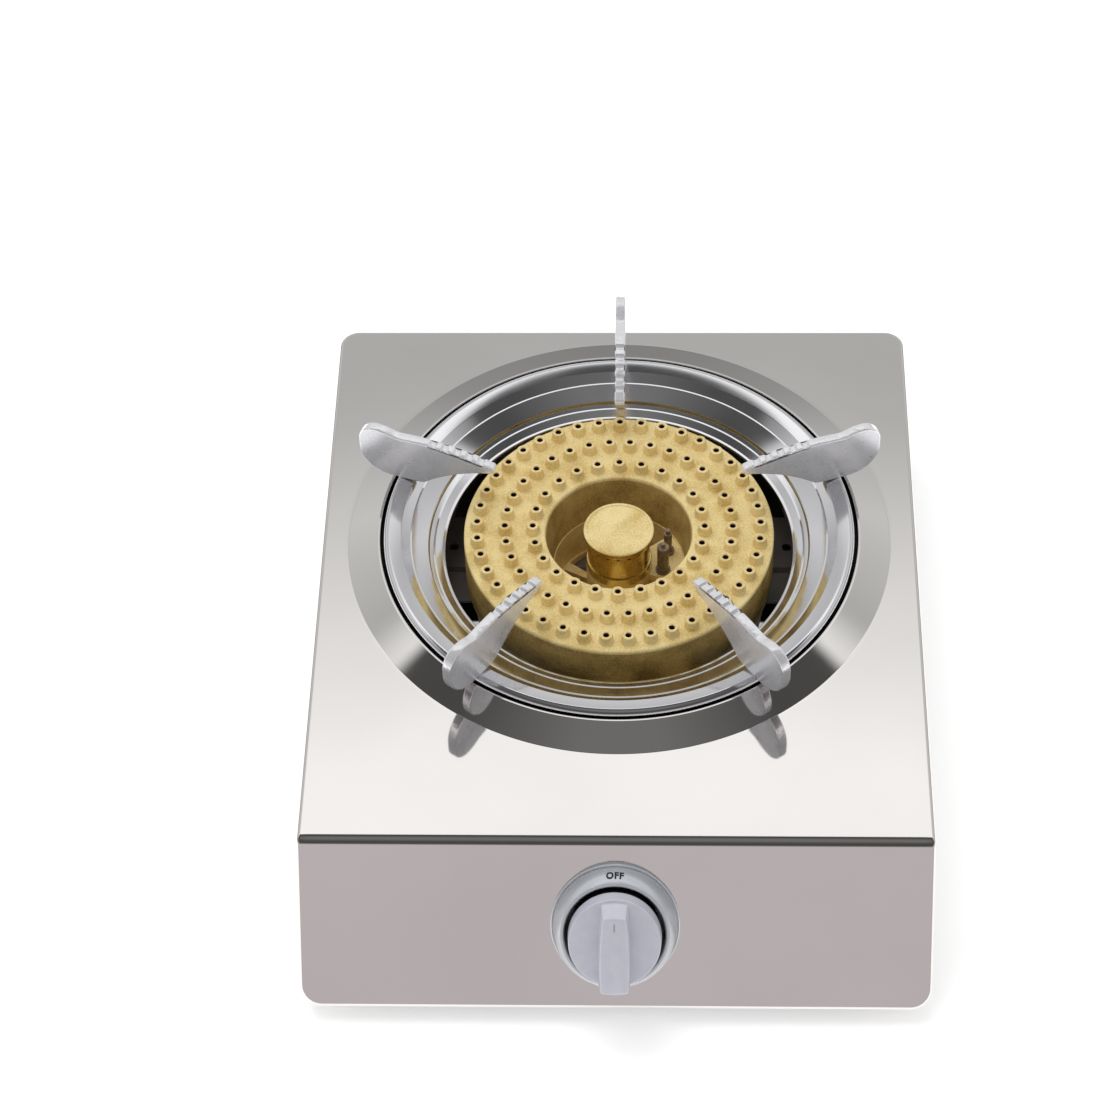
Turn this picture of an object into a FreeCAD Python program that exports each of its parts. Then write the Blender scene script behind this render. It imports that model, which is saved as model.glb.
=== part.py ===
import FreeCAD, Part
import math
import os
from types import SimpleNamespace

import Sketcher

# Single-burner tabletop gas stove, in millimetres.
# Case pieces are drawn about the burner's axis with the floor at height 0, +Y to the back.
# Knob and valve pieces are drawn about the knob's axis, with +Z out of the sloped front.

SIZES = {
    # Case of folded stainless sheet
    "side_margin": 11.0,
    "back_margin": 8.0,
    "front_margin": 47.0,
    "front_slope": 83.6,
    "front_tilt": 34.25,
    "ground_clearance": 9.0,
    "case_sheet": 0.8,
    "bend_radius": 5.0,
    "corner_radius": 10.0,
    "edge_radius": 2.0,
    "panel_flange": 12.0,
    "nest_gap": 0.1,
    # Raised ring of the top panel and the seat for the pan
    "ring_slope_width": 14.6,
    "ring_lip_width": 1.2,
    "ring_rise": 5.9,
    "ring_blend": 2.0,
    "pan_seat_rise": 2.0,
    "pan_seat_width": 7.2,
    # Side housing and base plate
    "housing_flange": 24.0,
    "housing_front_cut": 2.5,
    "base_sheet": 0.8,
    "base_inset": 10.5,
    "base_front_inset": 14.0,
    "base_rim": 8.0,
    "base_corner_radius": 6.0,
    "vent_length": 46.0,
    "vent_width": 5.0,
    "vent_pitch": 14.0,
    "vent_count": 7,
    "vent_row_x": 66.0,
    # Rubber feet
    "foot_radius": 11.0,
    "foot_top_radius": 9.5,
    "foot_inset": 39.0,
    "front_foot_y": -186.0,
    "rear_foot_y": 102.0,
    "foot_recess_radius": 5.0,
    "foot_recess_depth": 5.0,
    # Screws
    "screw_radius": 1.6,
    "screw_head_radius": 3.2,
    "screw_head_height": 1.6,
    "screw_grip": 4.0,
    "screw_clearance": 0.2,
    "screw_slot": 0.8,
    "base_screw_inset": 18.0,
    "base_screw_pitch": 105.0,
    "toe_screw_x": 60.0,
    "toe_screw_inset": 9.5,
    "back_screw_x": 90.0,
    "back_screw_drop": 7.0,
    # Drip pan of pressed sheet
    "pan_sheet": 0.6,
    "pan_burner_gap": 9.4,
    "pan_inner_lip": 2.0,
    "pan_floor_width": 5.1,
    "pan_floor_drop": 7.2,
    "pan_ledge_width": 3.4,
    "pan_ledge_drop": 3.8,
    "pan_step_width": 5.8,
    "pan_step_drop": 4.4,
    "pan_cone_width": 3.8,
    "pan_cone_rise": 1.5,
    "pan_wall_width": 1.2,
    "pan_wall_rise": 4.8,
    "pan_rim_width": 10.6,
    "pan_rim_slope": 2.2,
    "pan_rim_rise": 8.0,
    "pan_rim_round": 3.0,
    "pan_ring_gap": 1.4,
    # Pot supports
    "fin_count": 5,
    "fin_thickness": 5.0,
    "fin_edge_round": 0.8,
    "fin_heel_overhang": 1.6,
    "fin_heel_round": 17.0,
    "fin_ear_rise": 38.8,
    "fin_ear_round": 8.8,
    "fin_swell_round": 18.9,
    "fin_swell_angle": 24.0,
    "fin_dip_round": 12.0,
    "fin_dip_angle": 28.0,
    "fin_crown_round": 128.0,
    "fin_crown_angle": 21.2,
    "fin_tip_round": 2.0,
    "fin_tip_slope": 13.5,
    "fin_toe_slope": 40.0,
    "fin_toe_round": 6.0,
    "fin_seat_gap": 0.1,
    "notch_count": 5,
    "notch_radius": 2.2,
    "notch_depth": 1.1,
    "notch_start_angle": 3.3,
    "notch_pitch_angle": 2.8,
    # Burner cap with its nozzles
    "cap_rise": 4.9,
    "cap_plate": 4.5,
    "cap_wall": 3.5,
    "cap_eye_radius": 35.8,
    "cap_eye_low_radius": 32.4,
    "cap_edge_round": 1.2,
    "cap_seat_drop": 19.0,
    "cap_locate": 5.0,
    "cap_clearance": 0.5,
    "nozzle_height": 3.2,
    "nozzle_sink": 0.4,
    "nozzle_base_radius": 3.6,
    "nozzle_top_radius": 2.75,
    "port_radius": 1.45,
    "nozzle_eye_margin": 6.0,
    "nozzle_ring_pitch": 13.6,
    "nozzle_edge_margin": 6.5,
    "inner_ring_count": 24,
    "middle_ring_count": 34,
    "outer_ring_count": 41,
    # Centre cap
    "centre_radius": 17.15,
    "centre_rise": 7.1,
    "centre_lip": 3.4,
    "centre_skirt_radius": 15.2,
    "centre_skirt_wall": 2.0,
    "centre_seat_drop": 18.0,
    "centre_clearance": 0.3,
    "centre_slot_count": 18,
    "centre_slot_width": 1.8,
    "centre_slot_height": 1.6,
    "centre_slot_drop": 0.6,
    "centre_bevel": 0.8,
    "centre_foot_radius": 16.0,
    "centre_foot_height": 5.0,
    # Burner head casting
    "head_wall": 3.6,
    "head_ledge": 4.0,
    "inner_rim_radius": 37.6,
    "trough_inner_radius": 40.2,
    "moat_radius": 32.0,
    "moat_opening_gap": 1.0,
    "moat_opening_start": 60.0,
    "moat_opening_end": 236.0,
    "moat_web_angle": 5.0,
    "head_floor": 4.0,
    "head_depth": 44.0,
    "head_foot_height": 2.8,
    "head_foot_radius": 7.0,
    "head_foot_x": 52.0,
    "head_foot_y": 40.0,
    "hub_radius": 16.0,
    "hub_bore_radius": 9.0,
    "hub_spigot": 10.0,
    "tube_radius": 12.0,
    "tube_bore_radius": 8.5,
    "tube_drop": 31.0,
    "outer_tube_x": 33.0,
    "outer_tube_end": 60.0,
    "mouth_radius": 15.0,
    "mouth_thickness": 3.0,
    "shelf_drop": 20.0,
    "shelf_thickness": 4.0,
    "shelf_start_angle": -22.0,
    "shelf_end_angle": 38.0,
    # Electrode and flame probe on the shelf
    "electrode_x": 21.6,
    "electrode_y": -3.2,
    "electrode_radius": 2.9,
    "electrode_collar_radius": 3.6,
    "electrode_drop": 0.0,
    "electrode_tail": 12.0,
    "probe_x": 24.0,
    "probe_y": 9.0,
    "probe_radius": 2.0,
    "probe_collar_radius": 3.2,
    "probe_drop": 4.0,
    "post_collar_height": 1.4,
    "post_clearance": 0.1,
    "post_nose": 2.5,
    "post_wire_radius": 1.1,
    # Bridge under the burner
    "bridge_sheet": 1.5,
    "bridge_front_y": -1.0,
    "bridge_depth": 56.0,
    "bead_y": 22.5,
    "bead_width": 9.0,
    "bead_height": 2.4,
    "bead_slope": 1.5,
    "bridge_tab_height": 20.0,
    "bridge_tab_inset": 6.0,
    "bridge_screw_rise": 11.0,
    "bridge_screw_pitch": 26.0,
    "bridge_hole_x": 84.0,
    "bridge_hole_y": 35.0,
    "bridge_hole_radius": 2.4,
    # Knob and bezel on the sloped front
    "knob_drop": 40.6,
    "bezel_radius": 29.6,
    "bezel_brim": 1.2,
    "bezel_dome_radius": 28.2,
    "bezel_dome_foot": 2.4,
    "bezel_crest_radius": 24.8,
    "bezel_height": 13.5,
    "bezel_eye_radius": 23.0,
    "bezel_eye_bevel": 1.2,
    "bezel_dome_bulge": 1.2,
    "bezel_spigot_radius": 25.2,
    "bezel_spigot_depth": 3.0,
    "bezel_fit": 0.1,
    "knob_radius": 20.9,
    "knob_skirt_radius": 21.5,
    "knob_face_height": 23.5,
    "knob_press_gap": 1.0,
    "knob_wall": 2.0,
    "knob_hub_radius": 7.0,
    "knob_rim_round": 1.0,
    "grip_height": 34.0,
    "grip_round": 1.0,
    "grip_low_width": 14.2,
    "grip_high_width": 12.2,
    "grip_side_bulge": 0.8,
    "grip_end_bulge": 0.8,
    "grip_draft": 0.8,
    "grip_low": 21.5,
    "grip_high": 19.6,
    "grip_high_set": 3.6,
    # Gas valve behind the front
    "stem_radius": 4.0,
    "stem_flat": 2.8,
    "stem_fit": 0.06,
    "stem_depth": 28.0,
    "stem_height": 15.0,
    "stem_shoulder": 3.0,
    "push_travel": 4.0,
    "valve_face_depth": 18.5,
    "push_spare": 0.8,
    "valve_end_wall": 2.5,
    "barrel_radius": 10.5,
    "valve_flange_thickness": 4.0,
    "valve_flange_radius": 5.5,
    "valve_screw_x": 16.0,
    "neck_radius": 6.5,
    "manifold_radius": 7.0,
    "manifold_depth": 34.0,
    "manifold_overhang": 10.0,
    "inlet_radius": 6.0,
    "inlet_reach": 18.0,
    "bracket_sheet": 1.5,
    "bracket_width": 62.0,
    "bracket_middle_x": 7.5,
    "bracket_screw_x": 22.0,
    "bracket_top": 14.0,
    "bracket_foot": 22.0,
    "bracket_hole_gap": 0.5,
    "piezo_x": 29.5,
    "piezo_radius": 6.5,
    "piezo_length": 30.0,
    "piezo_brim": 1.5,
    "plunger_length": 5.4,
    "plunger_gap": 0.3,
    # Jets and air shutters at the tube mouths
    "jet_reach": 15.0,
    "jet_shank_radius": 4.0,
    "jet_hex_radius": 6.5,
    "jet_hex_thickness": 3.0,
    "jet_collar_radius": 5.0,
    "jet_tip_radius": 2.4,
    "jet_tip_length": 3.0,
    "jet_bore_radius": 0.6,
    "jet_fit": 0.05,
    "shutter_radius": 14.0,
    "shutter_sheet": 1.2,
    "shutter_gap": 0.3,
    "shutter_bore_gap": 0.2,
    "shutter_window_inner": 7.0,
    "shutter_window_outer": 11.5,
    "shutter_window_half_angle": 38.0,
    "shutter_lever_width": 6.0,
    "shutter_lever_reach": 24.0,
    # Gas supply
    "pipe_radius": 4.0,
    "pipe_bore_radius": 3.0,
    "pipe_bend": 26.0,
    "pipe_inset": 49.0,
    "pipe_nut_flats": 8.0,
    "pipe_nut_length": 10.0,
    "pipe_fit": 0.1,
    "nipple_reach": 26.0,
    "nipple_radius": 4.75,
    "nipple_bore_radius": 3.0,
    "nipple_shank_radius": 6.0,
    "nipple_shank_length": 12.0,
    "nipple_brim_radius": 9.0,
    "nipple_brim_thickness": 6.0,
    "nipple_rib_count": 4,
    "nipple_rib_pitch": 4.4,
    "nipple_groove_depth": 0.6,
    "nipple_groove_width": 1.8,
    "inlet_nut_flats": 7.2,
    "inlet_nut_thickness": 5.0,
}


class Size:
    """A length or angle that carries its value and the sheet expression that gives it."""

    def __init__(self, value, text):
        self.value = value
        self.text = text

    def __add__(self, other):
        other = as_size(other)
        return Size(self.value + other.value, f"({self.text} + {other.text})")

    def __sub__(self, other):
        other = as_size(other)
        return Size(self.value - other.value, f"({self.text} - {other.text})")

    def __mul__(self, other):
        other = as_size(other)
        return Size(self.value * other.value, f"({self.text} * {other.text})")

    def __truediv__(self, other):
        other = as_size(other)
        return Size(self.value / other.value, f"({self.text} / {other.text})")

    def __radd__(self, other):
        return as_size(other) + self

    def __rsub__(self, other):
        return as_size(other) - self

    def __rmul__(self, other):
        return as_size(other) * self

    def __rtruediv__(self, other):
        return as_size(other) / self

    def __neg__(self):
        return Size(-self.value, f"(-({self.text}))")


def as_size(number):
    return number if isinstance(number, Size) else Size(float(number), f"({number:.9f})")


def cosine(angle):
    angle = as_size(angle)
    return Size(math.cos(math.radians(angle.value)), f"cos({angle.text})")


def sine(angle):
    angle = as_size(angle)
    return Size(math.sin(math.radians(angle.value)), f"sin({angle.text})")


def root(size):
    return Size(math.sqrt(size.value), f"sqrt({size.text})")


def bulge_radius(start, finish, bulge):
    """Radius of the arc between two points that stands off their chord by the bulge."""
    across, along = finish[0] - start[0], finish[1] - start[1]
    return (across * across + along * along) / (8 * bulge) + bulge / 2


doc = FreeCAD.newDocument("gas_stove")
sheet = doc.addObject("Spreadsheet::Sheet", "sizes")
for row, (name, value) in enumerate(SIZES.items(), start=1):
    sheet.set(f"A{row}", name)
    sheet.set(f"B{row}", str(value))
    sheet.setAlias(f"B{row}", name)
doc.recompute()
s = SimpleNamespace(**{name: Size(value, f"sizes.{name}") for name, value in SIZES.items()})

# Heights and places that follow from the driving sizes
tilt_sin = sine(s.front_tilt)
tilt_cos = cosine(s.front_tilt)
inner_ring = s.cap_eye_radius + s.nozzle_eye_margin
middle_ring = inner_ring + s.nozzle_ring_pitch
outer_ring = middle_ring + s.nozzle_ring_pitch
cap_radius = outer_ring + s.nozzle_edge_margin
pan_inner = cap_radius + s.pan_burner_gap
pan_floor = pan_inner + s.pan_floor_width
pan_ledge = pan_floor + s.pan_ledge_width
pan_step = pan_ledge + s.pan_step_width
pan_cone = pan_step + s.pan_cone_width
pan_wall = pan_cone + s.pan_wall_width
pan_rim = pan_wall + s.pan_rim_width
ring_lip = pan_rim + s.pan_ring_gap
ring_foot = ring_lip + s.ring_lip_width + s.ring_slope_width
pan_hole = ring_lip - s.pan_seat_width
fin_heel = pan_rim + s.fin_heel_overhang
fin_ear = fin_heel + s.fin_heel_round
top = s.ground_clearance + s.front_slope * tilt_cos
bend_y = -(ring_foot + s.ring_blend + s.front_margin)
back_y = ring_foot + s.ring_blend + s.back_margin
toe_y = bend_y - s.front_slope * tilt_sin
half_width = ring_foot + s.ring_blend + s.side_margin
case_width = 2 * half_width
foot_x = half_width - s.foot_inset
base_screw_x = half_width - s.base_screw_inset
pipe_x = s.pipe_inset - half_width
nest = s.case_sheet + s.nest_gap
housing_low = s.ground_clearance + nest
base_low = housing_low + s.case_sheet
base_high = base_low + s.base_sheet
front_reach = -bend_y + (s.knob_drop + s.grip_low) * tilt_sin + s.grip_height * tilt_cos
burner_y = (front_reach - back_y - s.nipple_reach) / 2
knob_y = bend_y - s.knob_drop * tilt_sin
knob_z = top - s.knob_drop * tilt_cos
tube_z = top - s.tube_drop
manifold_up = (tube_z - knob_z + s.manifold_depth * tilt_sin) / tilt_cos
manifold_y = knob_y + s.manifold_depth * tilt_cos + manifold_up * tilt_sin
mouth_y = manifold_y + s.jet_reach
pipe_y = knob_y + s.manifold_depth * tilt_cos
pipe_z = knob_z - s.manifold_depth * tilt_sin
bridge_z = top - s.head_depth - s.head_foot_height
valve_end = s.stem_depth + s.plunger_gap + s.plunger_length + s.push_travel + s.push_spare + s.valve_end_wall
knob_skirt = s.push_travel + s.knob_press_gap
bracket_front = s.valve_face_depth - s.bracket_sheet
bracket_low = (base_high - knob_z + bracket_front * tilt_sin) / tilt_cos
bracket_y = knob_y + bracket_low * tilt_sin + bracket_front * tilt_cos
pieces = []


def bind(thing, prop, size):
    thing.setExpression(prop, as_size(size).text)


def place(thing, x=0, y=0, z=0, turn_axis=(0, 0, 1), turn=0):
    """Put a piece drawn about the burner's axis into the stove's own frame."""
    x, y, z, turn = as_size(x), as_size(y) + burner_y, as_size(z), as_size(turn)
    turned = FreeCAD.Rotation(FreeCAD.Vector(*turn_axis), turn.value)
    thing.Placement = FreeCAD.Placement(FreeCAD.Vector(x.value, y.value, z.value), turned)
    bind(thing, "Placement.Base.x", x)
    bind(thing, "Placement.Base.y", y)
    bind(thing, "Placement.Base.z", z)
    bind(thing, "Placement.Rotation.Angle", turn)


def place_on_front(thing):
    """Put a piece drawn about the knob's axis onto the sloped front."""
    place(thing, 0, knob_y, knob_z, (1, 0, 0), 90 - s.front_tilt)


def place_along_back(thing, x, y, z):
    """Put a piece drawn about its own axis so that the axis points to the back."""
    place(thing, x, y, z, (1, 0, 0), -90)


def new_body(label):
    body = doc.addObject("PartDesign::Body", label)
    body.Label = label
    pieces.append(body)
    return body


def origin_part(body, role):
    return next(part for part in body.Origin.OriginFeatures if part.Role == role)


def new_sketch(body, plane="XZ_Plane", shift=(0, 0, 0), turn_axis=(0, 0, 1), turn=0):
    """A sketch on one of the body's own planes, shifted and turned in that plane's axes."""
    sketch = body.newObject("Sketcher::SketchObject", f"{body.Label}_sketch")
    sketch.AttachmentSupport = [(origin_part(body, plane), "")]
    sketch.MapMode = "FlatFace"
    shift = [as_size(part) for part in shift]
    turn = as_size(turn)
    turned = FreeCAD.Rotation(FreeCAD.Vector(*turn_axis), turn.value)
    offset = FreeCAD.Placement(FreeCAD.Vector(*[part.value for part in shift]), turned)
    sketch.AttachmentOffset = offset
    for letter, part in zip("xyz", shift):
        if part.value:
            bind(sketch, f"AttachmentOffset.Base.{letter}", part)
    if turn.value:
        bind(sketch, "AttachmentOffset.Rotation.Angle", turn)
    return sketch


def hold_point(sketch, geometry, end, point):
    """Hold a point of the sketch at its distances from the two axes."""
    for kind, size, axis in (("DistanceX", point[0], -2), ("DistanceY", point[1], -1)):
        if abs(size.value) < 1e-7:
            sketch.addConstraint(Sketcher.Constraint("PointOnObject", geometry, end, axis))
        else:
            held = sketch.addConstraint(Sketcher.Constraint(kind, -1, 1, geometry, end, size.value))
            bind(sketch, f"Constraints[{held}]", size)


def corner(entry):
    """A path entry is a point, or a point with the signed radius of the arc that reaches it."""
    x, y, radius = entry if len(entry) == 3 else (*entry, None)
    return as_size(x), as_size(y), None if radius is None else as_size(radius)


def arc_centre(start, finish, radius):
    """Centre of the arc from start to finish; a positive radius turns left."""
    middle = (start + finish) * 0.5
    chord = finish - start
    across = FreeCAD.Vector(-chord.y, chord.x, 0).normalize()
    rise = math.sqrt(max(radius * radius - chord.Length ** 2 / 4, 0.0))
    return middle + across * math.copysign(rise, radius)


def add_path(sketch, path, closed=True):
    """Draw a path of lines and arcs in the sketch, with every corner and radius held."""
    path = [corner(entry) for entry in path]
    ends = []
    for index, (x, y, _) in enumerate(path if closed else path[:-1]):
        next_x, next_y, radius = path[(index + 1) % len(path)]
        start = FreeCAD.Vector(x.value, y.value, 0)
        finish = FreeCAD.Vector(next_x.value, next_y.value, 0)
        if radius is None:
            edge = sketch.addGeometry(Part.LineSegment(start, finish), False)
            ends.append((edge, 1, 2))
            continue
        centre = arc_centre(start, finish, radius.value)
        first, last = (start, finish) if radius.value > 0 else (finish, start)
        angles = [math.atan2(point.y - centre.y, point.x - centre.x) for point in (first, last)]
        circle = Part.Circle(centre, FreeCAD.Vector(0, 0, 1), abs(radius.value))
        edge = sketch.addGeometry(Part.ArcOfCircle(circle, angles[0], angles[1]), False)
        held = sketch.addConstraint(Sketcher.Constraint("Radius", edge, abs(radius.value)))
        bind(sketch, f"Constraints[{held}]", radius if radius.value > 0 else -radius)
        ends.append((edge, 1, 2) if radius.value > 0 else (edge, 2, 1))
    for index, (edge, begin, _) in enumerate(ends):
        before, _, end = ends[index - 1]
        if closed or index:
            sketch.addConstraint(Sketcher.Constraint("Coincident", before, end, edge, begin))
        hold_point(sketch, edge, begin, path[index][:2])
    if not closed:
        hold_point(sketch, ends[-1][0], ends[-1][2], path[-1][:2])


def add_circle(sketch, x, y, radius):
    x, y, radius = as_size(x), as_size(y), as_size(radius)
    circle = Part.Circle(FreeCAD.Vector(x.value, y.value, 0), FreeCAD.Vector(0, 0, 1), radius.value)
    edge = sketch.addGeometry(circle, False)
    held = sketch.addConstraint(Sketcher.Constraint("Radius", edge, radius.value))
    bind(sketch, f"Constraints[{held}]", radius)
    hold_point(sketch, edge, 3, (x, y))


def add_rectangle(sketch, x0, y0, x1, y1):
    add_path(sketch, [(x0, y0), (x1, y0), (x1, y1), (x0, y1)])


def add_hexagon(sketch, flats):
    """A hexagon about the origin, as far from its middle to a flat as the size says."""
    reach = flats / cosine(30)
    add_path(sketch, [(reach * cosine(60 * k), reach * sine(60 * k)) for k in range(6)])


def segment_ends(start, finish, radius):
    """Unit directions at the start and the finish of a line or an arc."""
    chord = (finish - start).normalize()
    if radius is None:
        return chord, chord
    centre = arc_centre(start, finish, radius)
    side = math.copysign(1.0, radius)
    spokes = [(point - centre).normalize() for point in (start, finish)]
    return [FreeCAD.Vector(-spoke.y * side, spoke.x * side, 0) for spoke in spokes]


def sheet_section(path, thickness):
    """Closed path of a sheet: the given path, and back along its left side at the thickness."""
    path = [corner(entry) for entry in path]
    points = [FreeCAD.Vector(x.value, y.value, 0) for x, y, _ in path]
    runs = []
    for index in range(1, len(path)):
        radius = path[index][2]
        runs.append(segment_ends(points[index - 1], points[index], radius and radius.value))
    other_side = []
    for index, (x, y, radius) in enumerate(path):
        incoming = runs[max(index - 1, 0)][1 if index else 0]
        outgoing = runs[min(index, len(runs) - 1)][0 if index < len(runs) else 1]
        normals = [FreeCAD.Vector(-run.y, run.x, 0) for run in (incoming, outgoing)]
        mitre = (normals[0] + normals[1]) * (1 / (1 + normals[0].dot(normals[1])))
        leaving = path[index + 1][2] if index + 1 < len(path) else None
        back_radius = None if leaving is None else -(leaving - thickness)
        point = (x + mitre.x * thickness, y + mitre.y * thickness)
        other_side.append(point if back_radius is None else (*point, back_radius))
    plain = [(x, y) if radius is None else (x, y, radius) for x, y, radius in path]
    return plain + other_side[::-1]


def feature(body, kind, sketch=None):
    made = body.newObject(f"PartDesign::{kind}", f"{body.Label}_{kind.lower()}")
    if sketch is not None:
        made.Profile = sketch
    return made


def pad(body, sketch, length, both_sides=False, backwards=False):
    made = feature(body, "Pad", sketch)
    bind(made, "Length", length)
    made.SideType = "Symmetric" if both_sides else "One side"
    made.Reversed = backwards
    return made


def pocket(body, sketch, length, both_sides=False, backwards=False):
    made = feature(body, "Pocket", sketch)
    bind(made, "Length", length)
    made.SideType = "Symmetric" if both_sides else "One side"
    made.Reversed = backwards
    return made


def revolve(body, sketch, kind="Revolution"):
    made = feature(body, kind, sketch)
    made.ReferenceAxis = (sketch, ["V_Axis"])
    made.Angle = 360
    return made


def around(body, originals, count):
    """Repeat features all round the body's own Z axis."""
    made = feature(body, "PolarPattern")
    made.Originals = originals
    made.Axis = (origin_part(body, "Z_Axis"), [""])
    made.Angle = 360
    bind(made, "Occurrences", count)
    body.Tip = made
    return made


def mirrored(body, originals, plane):
    made = feature(body, "Mirrored")
    made.Originals = originals
    made.MirrorPlane = (origin_part(body, plane), [""])
    body.Tip = made
    return made


def edge_names(made, test):
    """Names of the edges whose middle point passes the test."""
    doc.recompute()
    names = []
    for index, edge in enumerate(made.Shape.Edges, start=1):
        middle = edge.valueAt((edge.FirstParameter + edge.LastParameter) / 2)
        if test(middle, edge):
            names.append(f"Edge{index}")
    return names


def round_edges(body, base, radius, test):
    made = feature(body, "Fillet")
    made.Base = (base, edge_names(base, test))
    bind(made, "Radius", radius)
    return made


def near(value, size):
    return abs(value - as_size(size).value) < 1e-4


def shell(body, base, thickness, test):
    """Hollow a solid inwards, leaving the faces that pass the test open."""
    doc.recompute()
    names = [f"Face{index}" for index, face in enumerate(base.Shape.Faces, start=1) if test(face)]
    made = feature(body, "Thickness")
    made.Base = (base, names)
    bind(made, "Value", thickness)
    made.Reversed = True
    made.Join = "Intersection"
    return made


def make_revolved(label, path):
    """A turned piece: a closed outline carried round the Z axis."""
    body = new_body(label)
    sketch = new_sketch(body)
    add_path(sketch, path)
    revolve(body, sketch)
    return body


def facing(face, direction):
    """Whether a flat face points along the direction."""
    if face.Surface.TypeId != "Part::GeomPlane":
        return False
    u0, u1, v0, v1 = face.ParameterRange
    return face.normalAt((u0 + u1) / 2, (v0 + v1) / 2).dot(FreeCAD.Vector(*direction)) > 0.999


def make_top_panel():
    """Top plate and sloped front pressed from one sheet, with turned edges and a raised ring."""
    body = new_body("top_panel")
    side = new_sketch(body, "YZ_Plane")
    inner_bend = bend_y + s.panel_flange * (1 - tilt_sin) / tilt_cos
    flange_z = top - s.panel_flange
    toe_flange = toe_y + s.panel_flange / tilt_cos
    add_path(side, [
        (bend_y, top), (back_y, top), (back_y, flange_z), (inner_bend, flange_z),
        (toe_flange, s.ground_clearance), (toe_y, s.ground_clearance),
    ])
    block = pad(body, side, case_width, both_sides=True)
    bend = round_edges(body, block, s.bend_radius,
                       lambda middle, edge: near(middle.y, bend_y) and near(middle.z, top))
    inner = -s.panel_flange / 2

    def is_corner(middle, edge):
        at_side = near(abs(middle.x), half_width)
        at_back = near(middle.y, back_y) and near(middle.z, top + inner)
        at_toe = near(middle.z, s.ground_clearance) and middle.y < bend_y.value
        return at_side and (at_back or at_toe)

    corners = round_edges(body, bend, s.corner_radius, is_corner)
    outward = FreeCAD.Vector(0, -tilt_cos.value, tilt_sin.value)
    bend_point = FreeCAD.Vector(0, bend_y.value, top.value)
    setback = s.bend_radius.value * math.tan(math.radians(90 - s.front_tilt.value) / 2) + 1e-3

    def is_border(middle, edge):
        gap = (middle - FreeCAD.Vector(middle.x, bend_point.y, bend_point.z)).dot(outward)
        near_bend = abs(middle.y - bend_point.y) < setback and middle.z > top.value - setback
        on_skin = near(middle.z, top) or abs(gap) < 1e-4 or near_bend
        by_side = abs(middle.x) > (half_width - s.corner_radius).value - 1e-4
        return on_skin and (by_side or near(middle.y, back_y) or near(middle.z, s.ground_clearance))

    border = round_edges(body, corners, s.edge_radius, is_border)
    inward = (0, tilt_cos.value, -tilt_sin.value)
    tray = shell(body, border, s.case_sheet, lambda face: (
        facing(face, (0, 0, -1)) and near(face.CenterOfMass.z, flange_z) or facing(face, inward)))
    eye = new_sketch(body, "XY_Plane", (0, 0, top))
    add_circle(eye, 0, 0, ring_foot + s.ring_blend)
    pocket(body, eye, s.panel_flange)
    ring = new_sketch(body)
    add_path(ring, sheet_section([
        (ring_foot + s.ring_blend, top), (ring_foot, top),
        (ring_lip + s.ring_lip_width, top + s.ring_rise),
        (ring_lip, top + s.ring_rise), (ring_lip, top + s.pan_seat_rise),
        (pan_hole, top + s.pan_seat_rise),
    ], s.case_sheet))
    revolve(body, ring)
    knob_hole = new_sketch(body, "XY_Plane", (0, knob_y, knob_z), (1, 0, 0), 90 - s.front_tilt)
    add_circle(knob_hole, 0, 0, s.bezel_spigot_radius + s.bezel_fit)
    pocket(body, knob_hole, s.panel_flange, both_sides=True)
    toe_holes = new_sketch(body, "XY_Plane", (0, 0, s.ground_clearance))
    for side_sign in (-1, 1):
        add_circle(toe_holes, side_sign * s.toe_screw_x, toe_y + s.toe_screw_inset,
                   s.screw_radius + s.screw_clearance)
    pocket(body, toe_holes, nest, backwards=True)
    back_holes = new_sketch(body, "XZ_Plane", (0, 0, -back_y))
    for side_sign in (-1, 1):
        add_circle(back_holes, side_sign * s.back_screw_x, top - s.back_screw_drop,
                   s.screw_radius + s.screw_clearance)
    pocket(body, back_holes, nest, backwards=True)
    place(body)


def fold_block(body, outline, wide, rear, low, radius):
    """A block with its rear and bottom edges rounded, as folded sheet is."""
    side = new_sketch(body, "YZ_Plane")
    add_path(side, outline)
    block = pad(body, side, 2 * wide, both_sides=True)

    def is_folded(middle, edge):
        at_side = near(abs(middle.x), wide)
        at_rear = near(middle.y, rear)
        at_floor = near(middle.z, low)
        return at_side and (at_rear or at_floor) or at_rear and at_floor

    return round_edges(body, block, radius, is_folded)


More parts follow.
